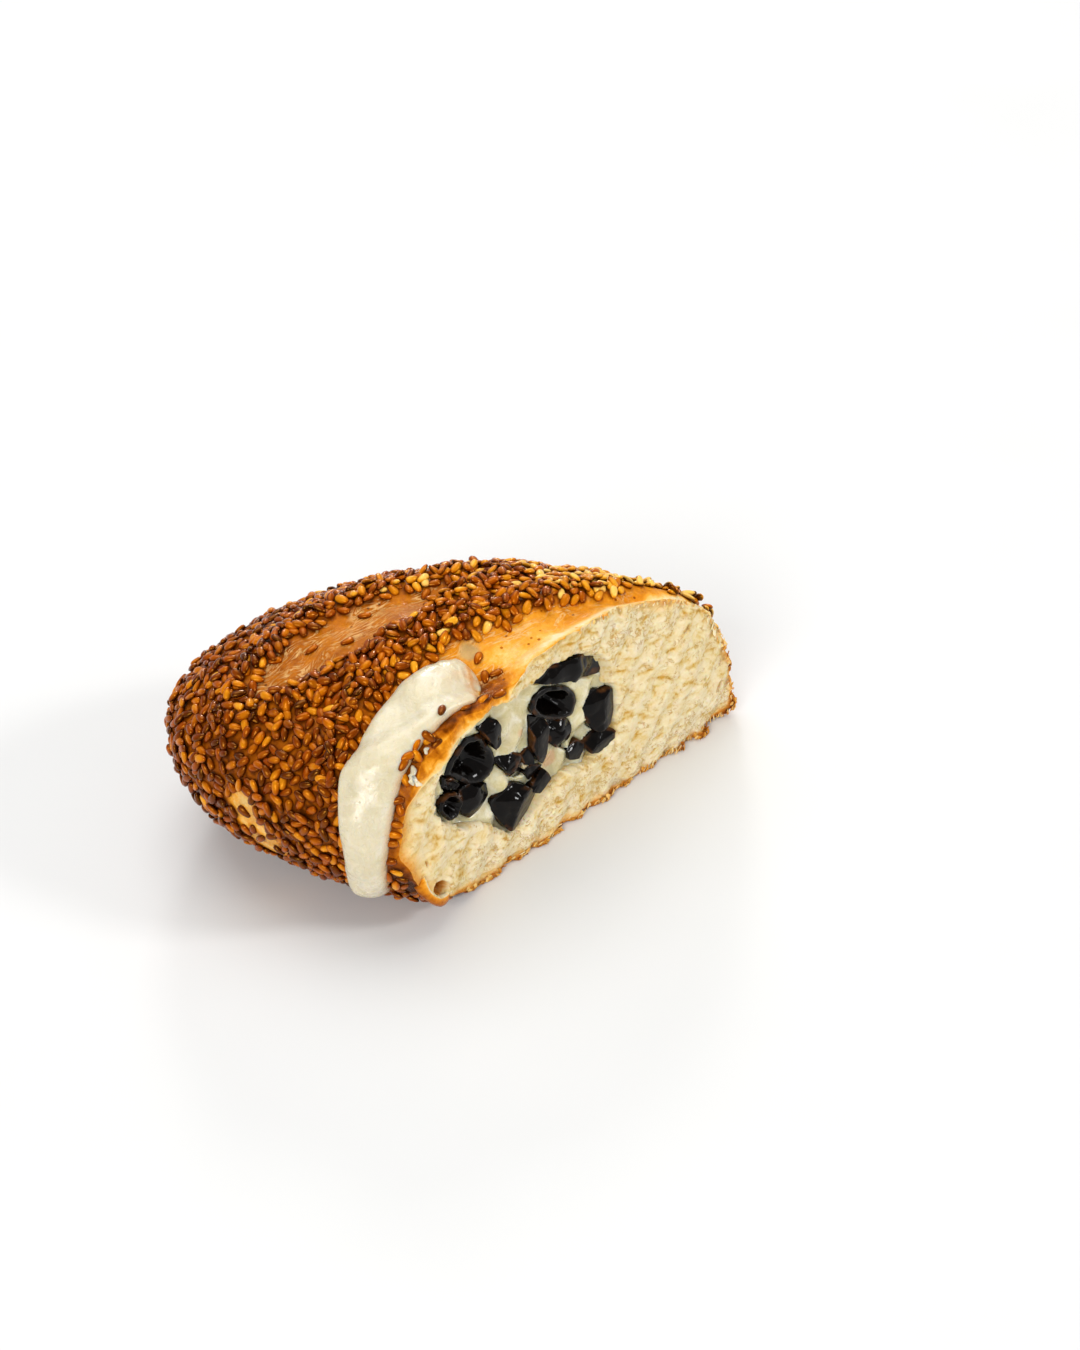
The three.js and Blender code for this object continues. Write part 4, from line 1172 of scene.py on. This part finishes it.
def make_torn_corner():
    """The curled strip of crust at the lower end of the cut: glazed outside, cream along its torn edge."""
    shares = np.linspace(0, 1, CORNER_STATIONS)
    upper, lower = (open_curve(TORN_CORNER[edge], shares) for edge in ("upper", "lower"))
    tangents = np.gradient(upper + lower, axis=0)
    rings = []
    for share, high, low, tangent in zip(shares, upper, lower, tangents):
        rise = high - low
        inward = unit(np.cross(rise, unit(tangent)))
        inward = inward * np.sign(inward[1]) if share < 0.9 else inward
        thick = inward * CORNER_THICKNESS * (1 + 0.25 * cloud(np.array([[9 * share, 0.0]]), 1, 161)[0])
        bulge = 0.7 * math.sin(math.pi * min(1, share + 0.15)) ** 0.5
        outside = [low + rise * up - inward * bulge * math.sin(math.pi * up)
                   for up in (0, 0.2, 0.45, 0.7, 0.9, 1)]
        inside = [low + rise * up + thick * (1 - 0.2 * (1 - up)) for up in (1, 0.8, 0.5, 0.2, 0)]
        ring = np.array([*outside, high + thick * 0.5 + unit(rise) * 0.25, *inside,
                         low + thick * 0.4 - unit(rise) * 0.2])
        rings.append(ring + 0.16 * rough(ring, 1.6, 3, 163)[:, None] * inward)
    tips = [rings[0].mean(axis=0), rings[-1].mean(axis=0)]
    points, faces = closed_body(rings, tips, turned=True)
    count = len(rings[0])
    kinds = np.concatenate([np.tile([0] * 5 + [1] * 4 + [0] * 4, CORNER_STATIONS - 1), np.zeros(2 * count)])
    browning = np.tile([0.62, 0.56, 0.5, 0.42, 0.3, 0.15, 0, 0, 0.1, 0.3, 0.5, 0.6, 0.62], CORNER_STATIONS)
    browning = np.concatenate([browning, [0.5, 0.9]])
    values = {"browning": browning, "wet": 0.5, "relief": 0.5, "toast": smooth(0.2, 0.6, browning) * 0.5}
    materials = [bpy.data.materials[name] for name in ("egg_washed_crust", "torn_crumb")]
    make_piece("torn_crust_corner", points, faces, materials, "bread", "bread", values, kinds)


# ---------------------------------------------------------------- the tongue of cheese

RUN_ROWS = 190
RUN_ACROSS = 44
RUN_LENGTH = 78
RUN_STREAM = 6                       # length of the slow swells along the tongue


def run_point(share, side):
    """A point of the tongue's upper face, by its share along and its side from -1 to 1."""
    share, side = np.broadcast_arrays(share, side)
    middle, width = run_station(share)
    tangent = run_station(np.minimum(share + 0.004, 1))[0] - run_station(np.maximum(share - 0.004, 0))[0]
    sideways = unit(np.cross(unit(tangent), unit(middle - HEART)))
    rounding = np.minimum(1, np.minimum(share / RUN_ENDS["head"], (1 - share) / RUN_ENDS["tip"]))
    length = RUN_LENGTH * share
    head = smooth(0.22, 0.0, share)
    wave = np.stack([length, 20 * np.sign(side)], axis=-1)
    edge = 1 + (0.05 + 0.1 * head) * cloud(wave, RUN_STREAM, 101)
    edge = edge + (0.02 + 0.07 * head) * cloud(wave, 2.2, 102) + 0.26 * head * smooth(0.1, -0.7, side)
    aside = side * (width / 2 * np.sqrt(1 - (1 - rounding) ** 2) * edge)
    crown = np.clip(1 - side**2, 0, None)
    thickness = RUN_THICKNESS * (1 - 0.5 * head - 0.35 * head * smooth(-0.2, -0.9, side)) * np.sqrt(rounding)
    across = np.stack([length, aside], axis=-1)
    wrinkles = np.stack([length + 0.8 * aside, 0.35 * aside], axis=-1)
    swell = 0.34 * cloud(across, RUN_STREAM, 103) + 0.13 * cloud(across, 2.4, 104)
    swell = swell + 0.35 * smooth(0.85, 1, share) + 0.22 * cloud(wrinkles, 1.5, 105) * smooth(0.4, 0.1, share)
    return crust_under(middle + sideways * aside[..., None],
                       thickness * crown**RUN_CROWN_POWER + swell * crown)


def make_run():
    sides = -np.cos(math.pi * np.arange(RUN_ACROSS + 1) / RUN_ACROSS)
    rings, tinged = [], []
    for share in (1 - np.cos(math.pi * np.arange(1, RUN_ROWS + 1) / (RUN_ROWS + 1))) / 2:
        top = run_point(share, sides)
        gold = smooth(0.2, 0.03, share) * smooth(0.75, -0.5, sides - 1.4 * smooth(0.05, 0.0, share))
        gold = gold * (0.3 + 0.7 * smooth(-0.2, 0.3, rough(top, 2.4, 2, 108)))
        gold = gold + 0.5 * smooth(-0.86, -1.0, sides) + 0.3 * smooth(0.9, 1.0, sides)
        under = crust_under(run_point(share, sides[-9:8:-9]), -RUN_ROOT / 2)
        rings.append(np.concatenate([top, under]))
        tinged += [gold * (0.7 + 0.3 * cloud(top, 1.6, 107)), np.ones(len(under))]
    points, faces = closed_body(rings, crust_under(run_station(np.array([0.0, 1.0]))[0]))
    cheese = melted_cheese("melted_white_cheese", ["#d1c6a5", "#d7cdb0", "#dfd6bf"], "#cf8a32")
    make_piece("cheese_tongue", points, faces, [cheese], "cheese_run", "cheese",
               {"tinged": np.concatenate([*tinged, [1, 1]])})


CHEESE_SCRAPS = [                    # x, y, z, length, width, height, turn in degrees
    (-40.3, -38.8, 40.1, 4.4, 1.6, 1.1, 60), (-39.3, -39.6, 38.6, 3, 1.2, 0.8, 110),
    (-35.3, -38.1, 43.5, 1.8, 1, 0.6, 20),
]
SCRAP_FACE = np.array([0.0, -0.75, 0.66])     # the way in which the scraps face, out of the cut and up
SCRAP_AROUND = 20
SCRAP_ALONG = 16


def make_scraps():
    """Small torn scraps of cheese left on the glazed strip and on the edge of the crumb by the knife."""
    turn = around(SCRAP_AROUND)
    bodies = []
    for number, (x, y, z, length, width, height, degrees) in enumerate(CHEESE_SCRAPS):
        cos, sin = math.cos(math.radians(degrees)), math.sin(math.radians(degrees))
        side = np.array([cos, SCRAP_FACE[2] * sin, -SCRAP_FACE[1] * sin])
        rings = []
        for angle in math.pi * np.arange(1, SCRAP_ALONG) / SCRAP_ALONG:
            ring = np.stack([
                np.full(SCRAP_AROUND, -math.cos(angle) * length / 2),
                math.sin(angle) * np.cos(turn) * width / 2,
                math.sin(angle) * np.sin(turn) * height / 2,
            ], axis=1)
            ring[:, 1] += 0.22 * width * math.sin(3 * math.cos(angle) + number)
            ring[:, 1:] *= 1 + 0.4 * cloud(ring + 9 * number, 0.7, 171)[:, None]
            rings.append(ring)
        tips = [[sign * length / 2, ring[:, 1].mean(), 0] for sign, ring in ((-1, rings[0]), (1, rings[-1]))]
        local, faces = closed_body(rings, tips)
        middle = np.array([[x, y, z]])
        if y > CUT_Y:
            middle = crust_under(middle, 0.45)
        bodies.append((middle + local @ np.array([side, np.cross(SCRAP_FACE, side), SCRAP_FACE]), faces))
    make_piece("cheese_scraps", *joined(bodies), [bpy.data.materials["melted_white_cheese"]], "cheese_run",
               "cheese", {"tinged": 0.1})


# ---------------------------------------------------------------- olives

OLIVES = {                           # outline: x, z; front: how far its face lies behind the knife's plane
    "roof_slice": {"front": 0.4, "depth": 9, "dish": -0.7, "outline": [
        (-4, 43.6), (0, 45), (5.5, 44.2), (10.3, 44), (13.2, 41.8), (17, 38.8), (17.6, 34.6), (12.6, 36.2),
        (6.1, 39.6), (1, 41.2),
    ]},
    "ring": {"front": 1.6, "depth": 8, "dish": 5, "outline": [
        (-4.9, 37.4), (-3.8, 39.9), (-0.4, 40.2), (2.8, 38.9), (6.1, 36.8), (8.3, 34), (8.8, 31.4),
        (7.6, 28.6), (4, 29.4), (-0.1, 31.9), (-3.4, 34.6),
    ]},
    "glossy_chunk": {"front": 1.3, "depth": 7, "dish": -0.8, "outline": [
        (0.2, 30.9), (6.8, 27.2), (7, 25.8), (5.1, 20.2), (2.9, 22.2), (0.5, 24.9),
    ]},
    "strip": {"front": 0.8, "depth": 7, "dish": -0.5, "outline": [
        (-5.2, 34.9), (-1.2, 32.2), (-0.9, 29.4), (-1.9, 23.5), (-2.8, 21.2), (-4.4, 23.4), (-5.7, 27.5),
        (-5, 30),
    ]},
    "strip_chip": {"front": 1.7, "depth": 4, "dish": -0.3, "outline": [
        (-8.2, 26), (-6.2, 27), (-5.5, 24.6), (-5.6, 22.4), (-7.6, 23.6),
    ]},
    "left_chip": {"front": 1.6, "depth": 6, "dish": -0.7, "outline": [
        (-15.8, 28.7), (-11, 28.2), (-8.8, 26.2), (-8.4, 20.9), (-10.2, 21.1), (-12.3, 23.1), (-14.5, 26.4),
    ]},
    "corner_chunk": {"front": 0.6, "depth": 6, "dish": -0.5, "outline": [
        (-6.3, 17.6), (-3.2, 19.4), (-1.2, 16), (-4.7, 14.2), (-7.2, 16.2),
    ]},
    "brown_chip": {"front": 1.4, "depth": 4, "dish": -0.3, "outline": [
        (-8.1, 21.6), (-5.8, 21.8), (-2.9, 20.3), (-6.6, 18.6),
    ]},
    "low_chip": {"front": 1.2, "depth": 5, "dish": -0.4, "outline": [
        (5.7, 19.6), (9.2, 20.2), (10.4, 18.6), (9, 15.5), (6.2, 16.9),
    ]},
    "right_slice": {"front": 0.4, "depth": 7, "dish": 1.6, "outline": [
        (11.2, 28.4), (12.8, 30.9), (14.9, 31), (17.4, 29.8), (19, 30.5), (19.9, 28), (20.1, 23.7),
        (18.7, 20.8), (14.6, 20.7), (13.2, 22.4), (11.6, 25.9),
    ]},
    "right_wedge": {"front": 0.4, "depth": 6, "dish": -0.6, "outline": [
        (10.9, 18.2), (14.5, 19.9), (17.6, 18.9), (19.4, 18), (19.8, 14.7), (18.5, 13.5), (15.3, 14.2),
        (11.9, 15.9),
    ]},
    "bottom_wedge": {"front": 0, "depth": 10, "dish": -1.4, "outline": [
        (-18.4, 19.4), (-16, 20.3), (-13.6, 21.2), (-9.3, 18.6), (-5.4, 13.9), (-7.8, 11.2), (-13.7, 9),
        (-15.2, 10.1), (-18.5, 17),
    ]},
    "cup_rim": {"front": 0.9, "depth": 7, "dish": -0.5, "outline": [
        (-20.4, 40.6), (-17.8, 41.2), (-16, 40.6), (-15.2, 37.9), (-15.4, 34.6), (-17.2, 33.6),
        (-18.5, 37.2),
    ]},
    "cup": {"front": 2.8, "depth": 9, "dish": 4, "outline": [
        (-30.6, 33.4), (-28.7, 35.9), (-26.3, 37.8), (-23.9, 38.8), (-19.6, 38.2), (-17.4, 33.4),
        (-15.9, 29.8), (-16.8, 27), (-19, 25.4), (-22.4, 25.6), (-26.3, 29.4),
    ]},
    "cup_wall": {"front": 1.4, "depth": 8, "dish": 1, "outline": [
        (-26.6, 26.8), (-24, 26.9), (-22.6, 25.2), (-19.5, 24.6), (-19.6, 22), (-22.7, 19.7), (-25.1, 19),
        (-27.2, 21.1), (-27.5, 23.9),
    ]},
    "dark_chip": {"front": 2.2, "depth": 5, "dish": 0.5, "outline": [
        (-32, 33.9), (-30.9, 33), (-27.3, 29.4), (-28.6, 28.8), (-32, 31.2),
    ]},
    "small_ring": {"front": 1, "depth": 6, "dish": 2.6, "outline": [
        (-34.2, 28.2), (-31.6, 30), (-29.4, 28.4), (-28.1, 25.4), (-28.8, 22.8), (-31.4, 22.6), (-34, 26.2),
    ]},
}
OLIVE_COLUMNS = 80
OLIVE_FACE_ROWS = 24
OLIVE_BACK_SHARE = 0.8
OLIVE_EDGE = 0.22                    # the knife's edge, hardly rounded
OLIVE_GROWTH = 0.45                  # the soft flesh swells past the outline of its solid
OLIVE_RELIEF = 0.3                   # the room its face has before its front
OLIVE_THIN_ENDS = {                  # x, z, reach: thin enough there for light to come through
    "roof_slice": (16, 37.5, 5), "left_chip": (-11, 25, 2.5), "brown_chip": (-3.5, 24, 3),
    "dark_chip": (-30, 31, 2),
}
OLIVE_FACETS = {                     # each chopped plane: turn, slope, height at the middle, matt share
    "roof_slice": [(20, 0.5, 1.6, 0.1), (115, 0.35, 0.9, 0.0), (205, 0.16, 0.7, 0.1), (300, 0.55, 1.6, 0.9)],
    "glossy_chunk": [(160, 0.6, 1.3, 0.0), (40, 0.55, 1.1, 0.0), (280, 0.65, 1.4, 0.0)],
    "strip": [(0, 0.12, 0.6, 1.0), (180, 0.6, 1.4, 0.5), (270, 0.3, 1.9, 0.6)],
    "strip_chip": [(60, 0.4, 0.6, 0.5), (200, 0.5, 0.7, 0.0)],
    "left_chip": [(250, 0.6, 1.1, 0.0), (70, 0.55, 1.0, 0.3), (340, 0.5, 1.2, 0.7)],
    "corner_chunk": [(300, 0.1, 0.6, 1.0), (130, 0.6, 1.1, 0.3)],
    "brown_chip": [(100, 0.35, 0.5, 0.5), (280, 0.35, 0.5, 0.9)],
    "low_chip": [(250, 0.15, 0.6, 0.9), (60, 0.6, 1.0, 0.4)],
    "right_slice": [(0, 0.3, 1.3, 0.9), (170, 0.5, 0.6, 0.0), (95, 0.4, 1.9, 0.1)],
    "right_wedge": [(280, 0.2, 0.8, 1.0), (90, 0.6, 1.2, 0.2)],
    "bottom_wedge": [(320, 0.4, 1.6, 1.0), (175, 0.5, 1.1, 0.3), (90, 0.45, 1.9, 0.0)],
    "cup_rim": [(0, 0.3, 0.6, 0.2), (180, 0.3, 0.7, 0.0)],
    "cup_wall": [(30, 0.45, 1.1, 0.3), (200, 0.35, 0.8, 0.1), (300, 0.4, 1.2, 0.6)],
}
RIDGE_ROUNDING = 0.3                 # how round the ridges between the chopped planes are
JAGGED = {"cup": 0.35, "cup_rim": 0.2, "roof_slice": 0.3, "dark_chip": 0.3, "small_ring": 0.3}


def olive_outline(outline, jag, salt):
    """The outline with rounded corners, as evenly spaced points about its middle."""
    corners = np.array(outline, float)
    middle = corners.mean(axis=0)
    closed = np.concatenate([corners, corners[:1]])
    length = np.concatenate([[0], np.cumsum(np.linalg.norm(np.diff(closed, axis=0), axis=1))])
    wanted = np.arange(OLIVE_COLUMNS) / OLIVE_COLUMNS * length[-1]
    points = np.stack([np.interp(wanted, length, closed[:, i]) for i in (0, 1)], axis=1)
    for _ in range(2):
        points = 0.25 * np.roll(points, 1, axis=0) + 0.5 * points + 0.25 * np.roll(points, -1, axis=0)
    offset = points - middle
    grown = OLIVE_GROWTH + jag * cloud(points, 0.9, salt) + 0.12 * cloud(points, 2.6, salt + 1)
    return middle, offset * (1 + grown / np.hypot(*offset.T))[:, None]


def olive_face(name, dish, offset, share, salt):
    """How far an olive's face stands out towards the viewer, and how matt it is."""
    matt = np.zeros(len(offset))
    facets = OLIVE_FACETS.get(name)
    if facets:
        reach = np.abs(offset).max() * 0.5 / max(share, 0.01)
        height = np.full(len(offset), 9.0)
        ridge = np.zeros(len(offset))
        for turn, slope, top, flat in [*facets, (96 + salt % 29, 1.1, 1.4 + 0.42 * reach, 0.0)]:
            angle = math.radians(turn)
            plane = top - slope * (offset @ np.array([math.cos(angle), math.sin(angle)]))
            matt = np.where(plane < height, flat, matt)
            height = np.minimum(height, plane)
            ridge = ridge + np.exp(-plane / RIDGE_ROUNDING)
        height = np.clip(-RIDGE_ROUNDING * np.log(ridge), -1.7, 1.8)
    else:
        bowl = 1 - smooth(0.2, 0.84, share * np.ones(len(offset)))
        height = -dish * bowl + 0.3 * np.exp(-(((share - 0.88) / 0.1) ** 2))
        turn = np.arctan2(offset[:, 1], offset[:, 0])
        matt = smooth(0.6, 0.85, share) * (0.55 - 0.45 * np.sin(turn + 0.6))
    place = offset + salt
    skin = (1.05 - matt) * 0.5 * np.abs(cloud(place, 3.2, salt + 7))
    return height + 0.16 * rough(place, 3, 2, salt) + skin, matt


def make_olive(name, olive, material, salt):
    middle, offset = olive_outline(olive["outline"], JAGGED.get(name, 0.08), salt)
    radius = np.hypot(*offset.T)
    front = olive["front"] + OLIVE_RELIEF
    back = olive["front"] + olive["depth"]
    thin_x, thin_z, thin_reach = OLIVE_THIN_ENDS.get(name, (0, 0, 0.01))
    rings, matts, thins = [], [], []

    def add_ring(flat, behind, matt, thin):
        x, z = (middle + flat).T
        rings.append(np.stack([x, CUT_Y + behind, z], axis=1))
        matts.append(matt)
        thins.append(np.maximum(thin, smooth(thin_reach, 0.3 * thin_reach, np.hypot(x - thin_x, z - thin_z))))

    for share in np.arange(1, OLIVE_FACE_ROWS + 1) / OLIVE_FACE_ROWS:
        flat = offset * ((radius - OLIVE_EDGE) / radius * share)[:, None]
        height, matt = olive_face(name, olive["dish"], flat, share, salt)
        add_ring(flat, front - height, matt, smooth(0.8, 1, share))
    start = front - height + OLIVE_EDGE
    for angle in np.radians([30, 60, 90]):
        grown = offset * ((radius - OLIVE_EDGE * (1 - math.sin(angle))) / radius)[:, None]
        add_ring(grown, start - OLIVE_EDGE * math.cos(angle), matt * math.cos(angle), 1.0)
    for share in (0.25, 0.5, 0.75, 1.0):
        uneven = 1 + 0.03 * cloud(offset + 20 * share, 2.5, salt + 3)
        narrow = (1 - (1 - OLIVE_BACK_SHARE) * share**1.5) * uneven
        add_ring(offset * narrow[:, None], start + (back - start) * share, 0 * radius, 0.4)
    height, matt = olive_face(name, olive["dish"], np.zeros((1, 2)), 0.0, salt)
    tips = [[middle[0], CUT_Y + behind, middle[1]] for behind in (front - height[0], back)]
    make_piece(f"olive_piece_{name}", *closed_body(rings, tips), [material], f"olive_{name}", "olive",
               {"matt": np.concatenate([*matts, matt, [0]]), "thin": np.concatenate([*thins, [0, 0]])})


def make_olives():
    material = cured_black_olive()
    for i, (name, olive) in enumerate(OLIVES.items()):
        make_olive(name, olive, material, 300 + 10 * i)


# ---------------------------------------------------------------- the cheese in the core

FILLING_COLUMNS = 384
FILLING_ROWS = 84
CHEESE_BULGES = [                    # strands and pools that stand nearer to the cut: x, z, reach, forward
    (10, 33, 3.6, 2.4), (10.5, 26, 2.6, 2.2), (-11.5, 34, 4, 1.5), (-15.5, 22.5, 2.6, 1.7),
    (-5, 20, 2.4, 1.6),
    (-21, 16.5, 2.6, 1.7), (-32.5, 31.5, 1.5, 1.8), (4, 40.5, 3, 0.6), (-26, 25, 4, -3.0), (-22, 30, 6, -1.5),
    (-14, 43, 5, -1.2),
]
SOAKED_CRUMB = [                     # x, z, reach: crumb that has fallen into the cheese
    (0.8, 19.4, 2.6), (-8.4, 33, 1.3), (-3.2, 21.2, 1.0), (-7.5, 22.6, 1.2),
]
CHEESE_REVEAL = 0.55                 # the least height of olive that stands out of the cheese
CHEESE_GRAIN = 7
CHEESE_DEPTHS = (8, 14, 20, 26, 31, 35.5)
CHEESE_END = 36.5


def distance_to_outline(points, corners):
    """Signed distance from an outline, negative inside it."""
    nearest = np.full(len(points), 1e9)
    inside = np.zeros(len(points), bool)
    for a, b in zip(corners, np.roll(corners, -1, axis=0)):
        edge = b - a
        offset = points - a
        share = np.clip(offset @ edge / (edge @ edge), 0, 1)
        nearest = np.minimum(nearest, np.linalg.norm(offset - share[:, None] * edge, axis=1))
        crosses = (a[1] > points[:, 1]) != (b[1] > points[:, 1])
        rise = edge[1] if edge[1] else 1e-9
        inside ^= crosses & (points[:, 0] < (points[:, 1] - a[1]) / rise * edge[0] + a[0])
    return np.where(inside, -nearest, nearest)


def filling_depth(flat, to_wall):
    """How far behind the knife's plane the cheese lies: sunk, swollen, drawn up round olives and walls."""
    depth = CHEESE_RECESS + CHEESE_SWELL * 0.7 * lumps(flat[:, 0] + 3, flat[:, 1], CHEESE_GRAIN)
    for *place, reach, forward in CHEESE_BULGES:
        depth = depth - forward * bump(*flat.T, *place, reach)
    depth = depth - 0.7 * np.exp(-np.clip(to_wall, 0, None) / 0.9) + 0.1 * cloud(flat, 2.0, 111)
    sink = np.zeros(len(flat))
    for olive in OLIVES.values():
        gap = distance_to_outline(flat, np.array(olive["outline"], float)) - OLIVE_GROWTH
        contact = np.maximum(depth - 0.5, olive["front"] + CHEESE_REVEAL)
        depth = depth + (contact - depth) * np.exp(-np.clip(gap, 0, None) / 0.7)
        sink = np.maximum(sink, 6 * np.clip(-gap / 0.5, 0, 1))
    return depth + sink


def make_filling():
    rim = hollow_edge(around(FILLING_COLUMNS))
    reach = np.linalg.norm(rim - CORE_CENTRE, axis=1)
    rings = []
    for share in np.arange(1, FILLING_ROWS + 1) / FILLING_ROWS:
        flat = CORE_CENTRE + (rim - CORE_CENTRE) * (share * (1 + 0.35 / reach))[:, None]
        y = CUT_Y + filling_depth(flat, reach * (1 - share))
        rings.append(np.stack([flat[:, 0], y, flat[:, 1]], axis=1))
    rings += [core_ring(rim, depth) for depth in CHEESE_DEPTHS]
    middle_x, middle_z = CORE_CENTRE
    front = CUT_Y + filling_depth(CORE_CENTRE[None].astype(float), np.array([9.0]))[0]
    tips = [[middle_x, front, middle_z], [middle_x + CORE_DRIFT * 36, CUT_Y + CHEESE_END, middle_z]]
    points, faces = closed_body(rings, tips, turned=True)
    soaked = np.zeros(len(points))
    for x, z, reach in SOAKED_CRUMB:
        near = np.hypot(points[:, 0] - x, points[:, 2] - z) + 0.5 * cloud(points, 1.6, 113)
        soaked = np.maximum(soaked, 0.85 * smooth(reach, reach - 1.0, near))
    # Darker, yellower low tint than the tongue's same cheese: painted shade of the hollow.
    cheese = melted_cheese("melted_core_cheese", ["#c4b682", "#d2c69c", "#e3dcc4"], "#d2a97c")
    make_piece("cheese_core", points, faces, [cheese], "cheese_filling", "cheese", {"tinged": soaked})


# ---------------------------------------------------------------- camera, table and light

CAMERA_PLACE = (-273.95, -316.78, 329.54)
CAMERA_AIM = (30.88, -5.30, 10.69)
CAMERA_ROLL = math.radians(-2.71)
CAMERA_LENS = 58.67                  # on a 36 mm sensor along the taller side
TABLE_SIDE = 6.0
TABLE_DROP = 0.0001                  # the table lies this little below the roll's base, in metres
ROOM_LIGHT = 0.4
LIGHT_AIM = (0, 0, 15)
SOFTBOXES = {                        # place, width and height, watts
    "overhead": ((480, 960, 2880), (2600, 2600), 53),
    "key": ((1400, -2050, 1400), (460, 460), 27),
    "fill": ((-2200, -960, 1400), (1500, 1300), 45),
    "back": ((1500, 1650, 1150), (420, 420), 13),
}


def looking(place, aim):
    """The pose of a camera or lamp at a place in millimetres that looks at its aim."""
    turn = (Vector(aim) - Vector(place)).to_track_quat("-Z", "Y").to_matrix().to_4x4()
    return Matrix.Translation(Vector(place) * MM) @ turn


def make_camera():
    data = bpy.data.cameras.new("camera")
    data.lens = CAMERA_LENS
    data.sensor_width = 36
    data.sensor_fit = "AUTO"
    data.clip_start = 0.01
    data.clip_end = 20
    camera = add_object("camera", data)
    camera.matrix_world = looking(CAMERA_PLACE, CAMERA_AIM) @ Matrix.Rotation(CAMERA_ROLL, 4, "Z")
    bpy.context.scene.camera = camera


def make_floor():
    mesh = bpy.data.meshes.new("table_top")
    corners = [(-1, -1), (1, -1), (1, 1), (-1, 1)]
    mesh.from_pydata([(x * TABLE_SIDE, y * TABLE_SIDE, -TABLE_DROP) for x, y in corners], [], [(0, 1, 2, 3)])
    mesh.materials.append(painted_table_top())
    add_object("table_top", mesh)


def make_lights():
    world = bpy.data.worlds.new("studio")
    world.use_nodes = True
    background = world.node_tree.nodes["Background"]
    background.inputs["Color"].default_value = (1, 1, 1, 1)
    background.inputs["Strength"].default_value = ROOM_LIGHT
    bpy.context.scene.world = world
    for name, (place, size, power) in SOFTBOXES.items():
        data = bpy.data.lights.new(name, "AREA")
        data.shape = "RECTANGLE"
        data.size = size[0] * MM
        data.size_y = size[1] * MM
        data.energy = power
        add_object(name, data).matrix_world = looking(place, LIGHT_AIM)


def make_scene():
    make_camera()
    make_floor()
    make_lights()
    ground_seeds, heaped_seeds = scatter_sesame()
    make_bread(ground_seeds)
    make_torn_corner()
    make_crust_flakes()
    make_sesame(ground_seeds + heaped_seeds + loose_seeds())
    make_run()
    make_scraps()
    make_filling()
    make_olives()
    bpy.context.scene.view_settings.view_transform = "Standard"


make_scene()
